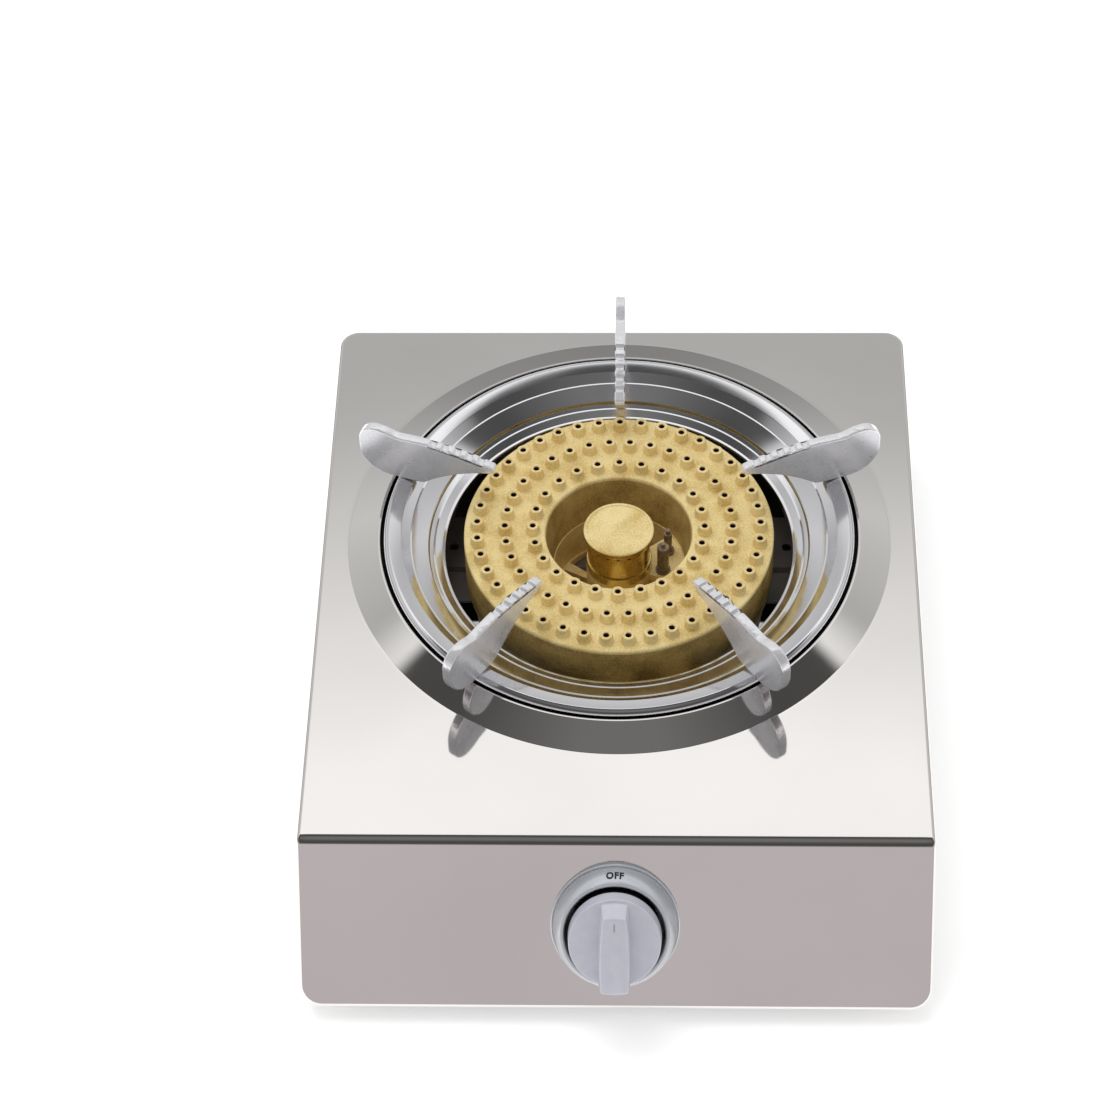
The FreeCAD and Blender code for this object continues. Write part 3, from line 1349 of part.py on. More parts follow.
def make_hose_nipple():
    """Brass nipple in the back wall: shank inside, brim outside, grooved tube for the hose."""
    reach = s.nipple_reach + nest
    path = [
        (s.nipple_bore_radius, -s.nipple_shank_length), (s.nipple_shank_radius, -s.nipple_shank_length),
        (s.nipple_shank_radius, 0), (s.nipple_brim_radius, 0),
        (s.nipple_brim_radius, s.nipple_brim_thickness),
    ]
    groove = s.nipple_radius - s.nipple_groove_depth
    for rib in range(int(s.nipple_rib_count.value)):
        start = s.nipple_brim_thickness + s.nipple_rib_pitch * rib
        path += [(groove, start), (groove, start + s.nipple_groove_width),
                 (s.nipple_radius, start + s.nipple_groove_width + s.nipple_groove_depth),
                 (s.nipple_radius, start + s.nipple_rib_pitch)]
    path += [(groove, reach), (s.nipple_bore_radius, reach)]
    body = make_revolved("hose_nipple", path)
    place_along_back(body, pipe_x, back_y - nest, pipe_z)


def make_inlet_nut():
    """Lock nut that clamps the nipple to the back wall from inside."""
    body = new_body("inlet_nut")
    outline = new_sketch(body, "XY_Plane", (0, 0, -s.case_sheet - s.nest_gap))
    add_hexagon(outline, s.inlet_nut_flats)
    add_circle(outline, 0, 0, s.nipple_shank_radius + s.pipe_fit)
    pad(body, outline, s.inlet_nut_thickness, backwards=True)
    place(body, pipe_x, back_y - nest, pipe_z, (1, 0, 0), -90)


def make_drip_pan():
    """Pan pressed in steps from thin sheet, standing on the panel's ring by its skirt."""
    rim = pan_rim
    high = top + s.pan_rim_rise
    body = make_revolved("drip_pan", sheet_section([
        (rim, top + s.pan_seat_rise), (rim, high - s.pan_rim_round),
        (rim - s.pan_rim_round, high, s.pan_rim_round),
        (pan_wall + s.pan_rim_slope, high - s.pan_rim_slope / 3),
        (pan_wall, top + s.pan_wall_rise), (pan_cone, top + s.pan_cone_rise),
        (pan_step, top - s.pan_step_drop), (pan_ledge, top - s.pan_ledge_drop),
        (pan_floor, top - s.pan_floor_drop), (pan_inner, top - s.pan_floor_drop - s.nest_gap),
        (pan_inner, top - s.pan_floor_drop - s.pan_inner_lip),
    ], s.pan_sheet))
    place(body)


def turn_on(point, heading, radius, angle):
    """Where an arc ends that leaves a point at a heading and turns left, or right if the angle is below 0."""
    reach = radius if angle.value > 0 else -radius
    after = heading + angle
    across = reach * (sine(after) - sine(heading))
    along = reach * (cosine(heading) - cosine(after))
    return point[0] + across, point[1] + along, reach


def make_pot_support(label, turn):
    """Cast fin on the pan's rim, drawn as one smooth outline, with a notched inner top edge."""
    body = new_body(label)
    seat = top + s.pan_rim_rise + s.fin_seat_gap
    high = top + s.fin_ear_rise
    ear = s.fin_ear_round
    heel = s.fin_heel_round
    heading = as_size(180)
    path = [(fin_ear - ear, high, ear)]
    crown_turn = s.fin_swell_angle - s.fin_dip_angle
    for radius, angle in ((s.fin_swell_round, s.fin_swell_angle), (s.fin_dip_round, -s.fin_dip_angle),
                          (s.fin_crown_round, s.fin_crown_angle),
                          (s.fin_tip_round, 180 - crown_turn - s.fin_crown_angle - s.fin_tip_slope)):
        path.append(turn_on(path[-1], heading, radius, angle))
        heading = heading + angle
    dip, tip = path[2], path[-1]
    toe_drop = s.fin_toe_round * (1 - cosine(s.fin_toe_slope))
    belly = (tip[1] - toe_drop - seat) / (cosine(s.fin_tip_slope) - cosine(s.fin_toe_slope))
    path.append(turn_on(tip, heading, belly, s.fin_tip_slope - s.fin_toe_slope))
    path.append(turn_on(path[-1], -s.fin_toe_slope, s.fin_toe_round, s.fin_toe_slope))
    path += [(fin_heel, seat), (fin_ear, seat + heel, heel), (fin_ear, high - ear)]
    outline = new_sketch(body)
    add_path(outline, path)
    block = pad(body, outline, s.fin_thickness, both_sides=True)
    side = s.fin_thickness / 2
    round_edges(body, block, s.fin_edge_round, lambda middle, edge: near(abs(middle.y), side))
    notches = new_sketch(body)
    centre_x = dip[0] + s.fin_crown_round * sine(crown_turn)
    centre_z = dip[1] - s.fin_crown_round * cosine(crown_turn)
    reach = s.fin_crown_round + s.notch_radius - s.notch_depth
    for number in range(int(s.notch_count.value)):
        angle = s.notch_start_angle + s.notch_pitch_angle * number
        add_circle(notches, centre_x - reach * sine(angle), centre_z + reach * cosine(angle), s.notch_radius)
    pocket(body, notches, 2 * s.fin_thickness, both_sides=True)
    place(body, turn=turn)


make_top_panel()
make_side_housing()
make_base_plate()
for number, (x, y) in enumerate(foot_places(), start=1):
    make_foot(f"foot_{number}", x, y)
make_case_screws()
make_burner_bridge()
make_burner_head()
make_burner_cap()
make_centre_cap()
make_post("ignition_electrode", s.electrode_x, s.electrode_y, s.electrode_radius, s.electrode_collar_radius,
          s.electrode_drop)
make_post("flame_probe", s.probe_x, s.probe_y, s.probe_radius, s.probe_collar_radius, s.probe_drop)
for name, x in (("inner", as_size(0)), ("outer", s.outer_tube_x)):
    make_jet(f"jet_{name}", x)
    make_air_shutter(f"air_shutter_{name}", x)
make_valve_body()
make_valve_plunger()
make_valve_stem()
make_valve_bracket()
make_piezo_igniter()
make_knob()
make_knob_bezel()
make_gas_pipe()
make_pipe_nut()
make_hose_nipple()
make_inlet_nut()
make_drip_pan()
for number in range(int(s.fin_count.value)):
    make_pot_support(f"pot_support_{number + 1}", 90 + 360 * number / s.fin_count)

doc.recompute()
for thing in doc.Objects:
    if "Invalid" in thing.State or "Error" in thing.State:
        raise SystemExit(f"{thing.Label} did not recompute")
os.makedirs("parts", exist_ok=True)
for piece in pieces:
    if piece.Shape.isNull() or not piece.Shape.isValid():
        raise SystemExit(f"{piece.Label} has no valid shape")
    piece.Shape.exportStep(f"parts/{piece.Label}.step")
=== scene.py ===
import math

import bmesh
import bpy
import numpy as np
from mathutils import Matrix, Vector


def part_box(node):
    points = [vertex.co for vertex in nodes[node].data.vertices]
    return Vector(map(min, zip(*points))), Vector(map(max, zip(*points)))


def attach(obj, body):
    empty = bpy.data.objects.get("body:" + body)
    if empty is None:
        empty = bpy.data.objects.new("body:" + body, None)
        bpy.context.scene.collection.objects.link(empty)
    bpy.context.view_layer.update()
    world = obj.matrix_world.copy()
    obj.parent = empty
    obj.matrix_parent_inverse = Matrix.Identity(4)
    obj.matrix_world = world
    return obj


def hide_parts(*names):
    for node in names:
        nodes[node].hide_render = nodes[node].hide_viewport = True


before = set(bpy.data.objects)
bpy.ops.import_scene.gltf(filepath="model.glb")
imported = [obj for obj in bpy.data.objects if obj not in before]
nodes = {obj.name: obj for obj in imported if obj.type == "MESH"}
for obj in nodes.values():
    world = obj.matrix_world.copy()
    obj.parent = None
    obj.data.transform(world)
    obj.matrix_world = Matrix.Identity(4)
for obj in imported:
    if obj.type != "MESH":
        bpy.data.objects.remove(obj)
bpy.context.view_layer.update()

# Top panel: one stainless sheet that gives the cooking top, the front bend and the sloped front.
# It is pressed with a raised ring round the pan, its edges are turned down, and screws at the toe
# and at the back hold it over the housing.
MM = 0.001
WELD = 0.002 * MM
SHEET = 0.8 * MM
EDGE_ROUND = 2.0 * MM
CORNER_ROUND = 10.0 * MM
BEND_ROUND = 5.0 * MM
FRONT_TILT = math.radians(34.25)
FRONT_SLOPE = 83.6 * MM
TOE_SETBACK = 1.4 * MM
PANEL_FLANGE = 12.0 * MM
RING_FOOT = 132.0 * MM
RING_BLEND = 2.0 * MM
RING_LIP = 116.2 * MM
RING_LIP_WIDTH = 1.2 * MM
RING_RISE = 5.9 * MM
LIP_HEM = 0.5 * MM
PAN_SEAT_RISE = 2.0 * MM
PAN_HOLE = 109.0 * MM
BURNER_SETBACK = 181.0 * MM
KNOB_DROP = 40.6 * MM
KNOB_HOLE = 25.3 * MM

panel_low, panel_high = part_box("top_panel")
cap_low, cap_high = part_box("burner_cap")
burner_y = (cap_low.y + cap_high.y) / 2
half_width = panel_high.x
back_y = panel_high.y
top = panel_high.z - RING_RISE
bend_y = burner_y - BURNER_SETBACK
burner_axis = np.array([0, burner_y, top])


def linear(hex_code):
    """Linear colour of an sRGB hex code."""
    srgb = np.array([int(hex_code[k:k + 2], 16) for k in (1, 3, 5)]) / 255
    parts = np.where(srgb <= 0.04045, srgb / 12.92, ((srgb + 0.055) / 1.055) ** 2.4)
    return (*parts, 1.0)


def node(tree, kind, inputs=None, stops=(), **settings):
    """Add one shader node; an input is a value, or the output socket that feeds it.

    A colour ramp also takes its stops, as pairs of a place and a colour in rising order.
    """
    made = tree.nodes.new(f"ShaderNode{kind}")
    for name, value in settings.items():
        setattr(made, name, value)
    for name, value in (inputs or {}).items():
        if isinstance(value, bpy.types.NodeSocket):
            tree.links.new(value, made.inputs[name])
        else:
            made.inputs[name].default_value = value
    for number, (place, colour) in enumerate(stops):
        elements = made.color_ramp.elements
        element = elements[number] if number < 2 else elements.new(1.0)
        element.position = place
        element.color = colour
    return made


def new_material(name, **constants):
    """A node material and its surface shader, with constants set on the shader's own sockets."""
    material = bpy.data.materials.new(name)
    material.use_nodes = True
    tree = material.node_tree
    shader = tree.nodes["Principled BSDF"]
    for socket, value in constants.items():
        shader.inputs[socket].default_value = value
    return material, tree, shader


def make_piece(name, grids, materials, body, loops=(), sharp=35.0):
    """A mesh of grids and loops, welded where they meet.

    A grid is (points as rows x columns x 3, whether its columns close, material number); its
    faces join neighbouring points. A loop is (points x 3, material number), one flat face.
    """
    points, corners, counts, numbers, start = [], [], [], [], 0
    for grid, closed, number in grids:
        rows, columns, _ = grid.shape
        spans = columns if closed else columns - 1
        row, column = np.meshgrid(np.arange(rows - 1), np.arange(spans), indexing="ij")
        after = (column + 1) % columns
        square = [row * columns + column, row * columns + after,
                  (row + 1) * columns + after, (row + 1) * columns + column]
        faces = np.stack(square, axis=-1).reshape(-1, 4) + start
        points.append(grid.reshape(-1, 3))
        corners.append(faces.ravel())
        counts.append(np.full(len(faces), 4))
        numbers.append(np.full(len(faces), number))
        start += rows * columns
    for loop, number in loops:
        points.append(loop)
        corners.append(np.arange(len(loop)) + start)
        counts.append(np.array([len(loop)]))
        numbers.append(np.array([number]))
        start += len(loop)
    points, corners, counts, numbers = [np.concatenate(part) for part in (points, corners, counts, numbers)]
    mesh = bpy.data.meshes.new(name)
    mesh.vertices.add(len(points))
    mesh.vertices.foreach_set("co", points.astype(np.float32).ravel())
    mesh.loops.add(len(corners))
    mesh.loops.foreach_set("vertex_index", corners.astype(np.int32))
    mesh.polygons.add(len(counts))
    mesh.polygons.foreach_set("loop_start", (np.cumsum(counts) - counts).astype(np.int32))
    mesh.polygons.foreach_set("material_index", numbers.astype(np.int32))
    mesh.update(calc_edges=True)
    for material in materials:
        mesh.materials.append(material)
    build = bmesh.new()
    build.from_mesh(mesh)
    bmesh.ops.remove_doubles(build, verts=build.verts, dist=WELD)
    bmesh.ops.dissolve_degenerate(build, edges=build.edges, dist=WELD / 20)
    build.to_mesh(mesh)
    build.free()
    mesh.polygons.foreach_set("use_smooth", np.ones(len(mesh.polygons), bool))
    mesh.set_sharp_from_angle(angle=math.radians(sharp))
    piece = bpy.data.objects.new(name, mesh)
    bpy.context.scene.collection.objects.link(piece)
    if body:
        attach(piece, body)
    return piece


def thicken(piece, thickness):
    """Give a sheet its thickness on the side away from its outer face."""
    made = piece.modifiers.new("sheet_thickness", "SOLIDIFY")
    made.thickness = thickness
    made.offset = -1


def rounded(points, steps=6, closed=False):
    """A line through points, where a third number replaces that corner by an arc of its radius."""
    corners = [np.array(point[:2], float) for point in points]
    radii = [point[2] if len(point) > 2 else 0 for point in points]
    line = []
    for index, (corner, radius) in enumerate(zip(corners, radii)):
        if not radius or not closed and index in (0, len(corners) - 1):
            line.append(corner[None])
            continue
        arrive = corners[index - 1] - corner
        leave = corners[(index + 1) % len(corners)] - corner
        arrive = arrive / np.linalg.norm(arrive)
        leave = leave / np.linalg.norm(leave)
        half = math.acos(np.clip(arrive @ leave, -1, 1)) / 2
        middle = (arrive + leave) / np.linalg.norm(arrive + leave)
        centre = corner + middle * radius / math.sin(half)
        first, last = [corner + way * radius / math.tan(half) - centre for way in (arrive, leave)]
        share = np.linspace(0, 1, steps + 1)[:, None]
        spokes = first * (1 - share) + last * share
        line.append(centre + radius * spokes / np.linalg.norm(spokes, axis=1, keepdims=True))
    return np.concatenate(line)


def in_mm(*points):
    """Outline points in metres, from millimetres."""
    return [tuple(value * MM for value in point) for point in points]


def turned(line, centre, around=192, axes=((1, 0, 0), (0, 1, 0), (0, 0, 1))):
    """A line of (radius, height) carried round an axis, its outer side to the right of its way.

    Each point is centre + radius (cos t across + sin t along) + height axis. The angles t are given,
    or are that many equal steps all round.
    """
    across, along, axis = np.array(axes, float)
    angle = np.linspace(0, 2 * np.pi, around, endpoint=False) if isinstance(around, int) else around
    spokes = np.cos(angle)[:, None] * across + np.sin(angle)[:, None] * along
    return np.array(centre) + line[:, 0, None, None] * spokes + line[:, 1, None, None] * axis


def arc(centre, radius, start, end, steps=10):
    """Points of an arc between two angles in degrees."""
    angle = np.radians(np.linspace(start, end, steps))
    return np.array(centre) + radius * np.stack([np.cos(angle), np.sin(angle)], axis=-1)


def straight(start, end, steps):
    """Points of a straight line, without its two ends."""
    share = np.linspace(0, 1, steps + 2)[1:-1, None]
    return np.array(start) * (1 - share) + np.array(end) * share


fold_angle = math.pi / 2 - FRONT_TILT
fold_setback = BEND_ROUND * math.tan(fold_angle / 2)
flat_length = back_y - bend_y - fold_setback
fold_length = flat_length + BEND_ROUND * fold_angle
full_length = fold_length + FRONT_SLOPE - fold_setback - TOE_SETBACK


def folded(across, forward, depth=0.0):
    """Fold the flat sheet: across is X, forward runs from the back edge, depth is under the skin.

    The sheet is level up to the bend, follows the bend's arc and then runs straight down the slope.
    """
    angle = np.clip((forward - flat_length) / BEND_ROUND, 0, fold_angle)
    level = np.minimum(forward, flat_length)
    slope = np.maximum(forward - fold_length, 0)
    y = back_y - level - BEND_ROUND * np.sin(angle) - slope * np.cos(fold_angle)
    z = top - BEND_ROUND * (1 - np.cos(angle)) - slope * np.sin(fold_angle)
    return np.stack([across + 0 * y, y + depth * np.sin(angle), z - depth * np.cos(angle)], axis=-1)


def plate(border, centre, radius):
    """Flat sheet between a border and a round hole, along straight lines to the hole's middle."""
    spokes = border - centre
    hole = centre + radius * spokes / np.linalg.norm(spokes, axis=1, keepdims=True)
    share = np.array([1.0, 0.99, 0.7, 0.35, 0.01, 0.0])[:, None, None]
    spread = hole + (border - hole) * share
    return folded(spread[..., 0], spread[..., 1])


inset = half_width - EDGE_ROUND
corner_x = half_width - CORNER_ROUND
corner = CORNER_ROUND - EDGE_ROUND
toe_corner = full_length - CORNER_ROUND
toe_edge = full_length - EDGE_ROUND
fold_steps = np.linspace(flat_length, fold_length, 13)
bend_across = np.linspace(-inset, inset, 81)
bend_front = np.stack([bend_across, np.full_like(bend_across, flat_length)], axis=-1)
slope_back = np.stack([bend_across, np.full_like(bend_across, fold_length)], axis=-1)
top_border = np.concatenate([
    straight((inset, flat_length), (inset, CORNER_ROUND), 90),
    arc((corner_x, CORNER_ROUND), corner, 0, -90),
    straight((corner_x, EDGE_ROUND), (-corner_x, EDGE_ROUND), 76),
    arc((-corner_x, CORNER_ROUND), corner, -90, -180),
    straight((-inset, CORNER_ROUND), (-inset, flat_length), 90),
])
slope_border = np.concatenate([
    straight((-inset, fold_length), (-inset, toe_corner), 20),
    arc((-corner_x, toe_corner), corner, 180, 90),
    straight((-corner_x, toe_edge), (corner_x, toe_edge), 48),
    arc((corner_x, toe_corner), corner, 90, 0),
    straight((inset, toe_corner), (inset, fold_length), 20),
])
burner_at = np.array([0, back_y - burner_y])
knob_at = np.array([0, fold_length - fold_setback + KNOB_DROP])
top_outline = np.concatenate([bend_front, top_border])
top_plate = plate(top_outline, burner_at, RING_FOOT + RING_BLEND)
front_plate = plate(np.concatenate([slope_back[::-1], slope_border]), knob_at, KNOB_HOLE)
bend_strip = folded(*np.meshgrid(bend_across, fold_steps[::-1]))

outline = np.concatenate([
    bend_front[-1:], top_border, bend_front[:1],
    straight((-inset, flat_length), (-inset, fold_length), 11), slope_back[:1],
    slope_border, slope_back[-1:], straight((inset, fold_length), (inset, flat_length), 11),
])
within = np.clip(outline, (-corner_x, CORNER_ROUND), (corner_x, toe_corner))
outward = (outline - within) / np.linalg.norm(outline - within, axis=1, keepdims=True)
turn = np.linspace(np.pi / 2, 0, 8)[:, None]
edge = outline + EDGE_ROUND * np.sin(turn)[..., None] * outward
rim = folded(edge[..., 0], edge[..., 1], EDGE_ROUND * (1 - np.cos(turn)))
mitre = (PANEL_FLANGE - BEND_ROUND) * math.tan(fold_angle / 2)
on_slope = edge[0, :, 1] > (flat_length + fold_length) / 2
to_mitre = np.where(on_slope, np.maximum(edge[0, :, 1], fold_length + mitre),
                    np.minimum(edge[0, :, 1], flat_length - mitre))
at_toe = (np.clip(outward[:, 1], 0, 1) ** 2 * on_slope)[:, None]
hem = folded(edge[0, :, 0], to_mitre, PANEL_FLANGE) * (1 - at_toe)
hem += (rim[0] + np.array([0, PANEL_FLANGE - EDGE_ROUND, 0])) * at_toe
hem[:, 2] = np.maximum(hem[:, 2], panel_low.z)
flange = rim[0] + (hem - rim[0]) * np.array([1.0, 0.1, 0])[:, None, None]

ring_line = rounded([
    (RING_FOOT + RING_BLEND, 0), (RING_FOOT, 0, 1.0 * MM),
    (RING_LIP + RING_LIP_WIDTH, RING_RISE, 0.5 * MM), (RING_LIP, RING_RISE, 0.4 * MM),
    (RING_LIP, RING_RISE - LIP_HEM),
])
seat_line = rounded([(RING_LIP, RING_RISE - LIP_HEM), (RING_LIP, PAN_SEAT_RISE, 0.4 * MM),
                     (PAN_HOLE, PAN_SEAT_RISE)])
spokes = top_outline - burner_at
bearings = np.arctan2(-spokes[:, 1], spokes[:, 0])
ring, seat = [turned(line, burner_axis, bearings) for line in (ring_line, seat_line)]

# Stainless steel, cold rolled and polished: it mirrors the studio with a faint warm tint, softened a
# little by the rolling direction and by wiping marks that can't be seen one by one.
stainless, tree, shader = new_material("polished_stainless_steel", Metallic=1.0)
ROLLING_LENGTH = 60 * MM
WIPING_LENGTH = 90 * MM
place = node(tree, "TexCoord").outputs["Object"]
stretched = node(tree, "Mapping", {"Vector": place, "Scale": (1.0, 12.0, 12.0)}).outputs["Vector"]
rolling = node(tree, "TexNoise", {"Vector": stretched, "Scale": 1 / ROLLING_LENGTH, "Detail": 4.0})
wiping = node(tree, "TexNoise", {"Vector": place, "Scale": 1 / WIPING_LENGTH, "Detail": 3.0})
tint = node(tree, "ValToRGB", {"Fac": wiping.outputs["Fac"]},
            [(0.3, linear("#e9e6e3")), (0.7, linear("#eeebe8"))])
tree.links.new(tint.outputs["Color"], shader.inputs["Base Color"])
gloss = node(tree, "MapRange", {"Value": rolling.outputs["Fac"], "To Min": 0.04, "To Max": 0.08})
tree.links.new(gloss.outputs["Result"], shader.inputs["Roughness"])

# The seat under the pan's rim is coloured dull and dark as painted shade under the rim, and shows as a thin
# dark line round the rim.
seat_painted_shade, tree, shader = new_material("seat_steel_painted_shade", Metallic=1.0, Roughness=0.5)
shader.inputs["Base Color"].default_value = linear("#33312f")

panel = make_piece("top_panel_sheet", [
    (top_plate, True, 0), (bend_strip, False, 0), (front_plate, True, 0),
    (rim, True, 0), (flange, True, 0), (ring, True, 0), (seat, True, 1),
], [stainless, seat_painted_shade], "case", sharp=60.0)
thicken(panel, SHEET)
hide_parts("top_panel")

# Side housing: sides, back and bottom frame folded from one more stainless sheet.
# It stands inside the panel's turned edges, and screws through the edges hold the two together.
NEST = 0.9 * MM
HOUSING_FLANGE = 23.0 * MM
PANEL_GAP = 0.1 * MM
TOE_LEDGE = 2.5 * MM
wall_x = half_width - NEST
wall_back = back_y - NEST
fold_round = CORNER_ROUND - NEST
wall_top = top - EDGE_ROUND - PANEL_GAP
wall_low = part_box("side_housing")[0].z
panel_to_wall = (EDGE_ROUND + PANEL_GAP) / math.cos(FRONT_TILT)
section = np.concatenate([
    np.array([[HOUSING_FLANGE, wall_low]]),
    arc((fold_round, wall_low + fold_round), fold_round, -90, -180, 9),
    np.array([[0.0, wall_top]]),
])
depth, height = section[:, :1], section[:, 1:]
front_y = bend_y - (top - height) * math.tan(FRONT_TILT) + panel_to_wall
front_y = np.maximum(front_y, front_y[:1] + TOE_LEDGE * (height < wall_low + TOE_LEDGE))
corner_turn = np.radians(np.linspace(0, 90, 12))
spoke = np.maximum(fold_round - depth, 0)
side_share = np.linspace(0, 1, 8)
side_y = front_y + (wall_back - fold_round - front_y) * side_share
right_x = wall_x - depth + 0 * side_share
corner_in = np.maximum(depth - fold_round, 0)
corner_cx = wall_x - fold_round - corner_in
corner_cy = wall_back - fold_round - corner_in
right_side = np.stack([right_x, np.minimum(side_y, corner_cy), height + 0 * side_y], axis=-1)
back_bend = np.stack([corner_cx + spoke * np.cos(corner_turn), corner_cy + spoke * np.sin(corner_turn),
                      height + 0 * corner_turn * spoke], axis=-1)
half_wall = np.concatenate([right_side, back_bend], axis=1)
other_half = half_wall[:, ::-1] * np.array([-1, 1, 1])
housing_wall = np.concatenate([half_wall, other_half], axis=1)
housing = make_piece("side_housing_sheet", [(housing_wall, False, 0)], [stainless], "case",
                     sharp=60.0)
thicken(housing, SHEET)
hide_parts("side_housing")

# Base plate and valve bracket: galvanised sheet, the plate vented and lying on the housing's frame,
# the bracket folded to carry the valve and the spark unit behind the front.
SPANGLE = 9 * MM

# Galvanised steel is a dull grey with faint crystal patches of zinc.
galvanised, tree, shader = new_material("galvanised_sheet", Metallic=1.0, Roughness=0.42)
place = node(tree, "TexCoord").outputs["Object"]
spangle = node(tree, "TexVoronoi", {"Vector": place, "Scale": 1 / SPANGLE}).outputs["Color"]
grey = node(tree, "RGBToBW", {"Color": spangle}).outputs["Val"]
zinc = node(tree, "ValToRGB", {"Fac": grey}, [(0.0, linear("#a9adb1")), (1.0, linear("#bfc2c5"))])
tree.links.new(zinc.outputs["Color"], shader.inputs["Base Color"])


def dress(names, material):
    """Give CAD nodes their finish and leave their meshes as they are."""
    for name in names:
        nodes[name].data.materials.clear()
        nodes[name].data.materials.append(material)


dress(["base_plate", "valve_bracket"], galvanised)

# Feet: moulded black rubber, one under each corner, each held by a screw from below.
# Rubber is matte and nearly black, with a greyer bloom.


def mottled(name, patch, dark, pale, smooth, rough, **constants):
    """A finish that drifts between two colours and two roughnesses over patches of about one size."""
    material, tree, shader = new_material(name, **constants)
    place = node(tree, "TexCoord").outputs["Object"]
    patches = node(tree, "TexNoise", {"Vector": place, "Scale": 1 / patch, "Detail": 3.0}).outputs["Fac"]
    colour = node(tree, "ValToRGB", {"Fac": patches}, [(0.3, linear(dark)), (0.7, linear(pale))])
    gloss = node(tree, "MapRange", {"Value": patches, "From Min": 0.3, "From Max": 0.7,
                                    "To Min": smooth, "To Max": rough})
    tree.links.new(colour.outputs["Color"], shader.inputs["Base Color"])
    tree.links.new(gloss.outputs["Result"], shader.inputs["Roughness"])
    return material


rubber = mottled("moulded_black_rubber", 6 * MM, "#1b1b1c", "#262627", 0.7, 0.8)
dress([f"foot_{number}" for number in (1, 2, 3, 4)], rubber)

# Screws, valve stem and air shutters: plain steel, plated so that it doesn't rust.
# Zinc plating is a bright grey metal, a little cloudy.
plated = mottled("zinc_plated_steel", 2.5 * MM, "#b4b5b8", "#c8c9cb", 0.24, 0.36, Metallic=1.0)
dress(["foot_screws", "base_screws", "panel_screws", "bridge_screws", "burner_screws", "bracket_screws",
       "valve_screws", "valve_stem", "air_shutter_inner", "air_shutter_outer"], plated)

# Burner bridge: a beaded strip of steel across the case, screwed to both sides.
# Its black coating is half matte, and is coloured a lighter grey-brown than black as painted light, where it
# lies in shade under the burner.
bridge_coat_painted_light = mottled("steel_coated_black_painted_lighter", 25 * MM, "#625d58", "#746d67", 0.36, 0.46)
dress(["burner_bridge"], bridge_coat_painted_light)

# Valve, gas pipe and spark unit inside the case: die-cast aluminium, drawn aluminium tube and a
# plastic tube, screwed together and to the bracket.
# The casting has a fine dull grain, the tube a smooth sheen, and the plastic is black and satin.
cast_aluminium = mottled("die_cast_aluminium", 1.5 * MM, "#a5a6a8", "#b9babb", 0.45, 0.55, Metallic=1.0)
drawn_aluminium = mottled("drawn_aluminium_tube", 4 * MM, "#bcbdbf", "#cbcccd", 0.25, 0.35, Metallic=1.0)
black_plastic = mottled("moulded_black_plastic", 1 * MM, "#1a1a1b", "#212122", 0.4, 0.5)
dress(["valve_body"], cast_aluminium)
dress(["gas_pipe"], drawn_aluminium)
dress(["piezo_igniter"], black_plastic)

# Jets, valve plunger and gas nuts: turned from brass rod and screwed into their seats.
# Turned brass is bright yellow, with a drift of tarnish.
brass = mottled("turned_brass", 5 * MM, "#d9bd6c", "#e8d28a", 0.2, 0.32, Metallic=1.0)
dress(["jet_inner", "jet_outer", "valve_plunger", "pipe_nut", "inlet_nut"], brass)

# Hose nipple: turned brass through the back wall, with grooves that grip the gas hose.
# A nut inside the wall holds it.
NIPPLE_BORE = 3.0
NIPPLE_FOOT = -12.0
NIPPLE_END = 26.9
SHOULDER = 6.0
GROOVES = 4
GROOVE_STEP = 4.4
GROOVE_RADIUS = 4.15
BARB_RADIUS = 4.75
nipple_low, nipple_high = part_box("hose_nipple")
nipple_at = ((nipple_low.x + nipple_high.x) / 2, back_y - NEST, (nipple_low.z + nipple_high.z) / 2)
grooves = [point for start in SHOULDER + GROOVE_STEP * np.arange(GROOVES) for point in
           ((GROOVE_RADIUS, start), (GROOVE_RADIUS, start + 1.8, 0.3), (BARB_RADIUS, start + 2.4, 0.3),
            (BARB_RADIUS, start + GROOVE_STEP, 0.2))]
nipple_line = rounded(in_mm(
    (NIPPLE_BORE, NIPPLE_FOOT), (6.0, NIPPLE_FOOT), (6.0, 0.0), (9.0, 0.0), (9.0, SHOULDER, 0.5), *grooves,
    (GROOVE_RADIUS, NIPPLE_END, 0.3), (NIPPLE_BORE, NIPPLE_END), (NIPPLE_BORE, NIPPLE_FOOT)), 4)
to_back = ((1, 0, 0), (0, 0, -1), (0, 1, 0))
nipple_skin = turned(nipple_line[::-1], nipple_at, 64, to_back)[::-1]
nipple = make_piece("hose_nipple_turned", [(nipple_skin, True, 0)], [brass], "case")
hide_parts("hose_nipple")

# Burner head: sand-cast body under the caps with both mixing tubes, painted gold before use.
# It stands on the bridge on two feet and carries the electrode on a small shelf.

# The sand's grain is finer than this, and is drawn as coarse as it needs to show.
GOLD_GRAIN = 0.9 * MM
GOLD_PATCH = 14 * MM


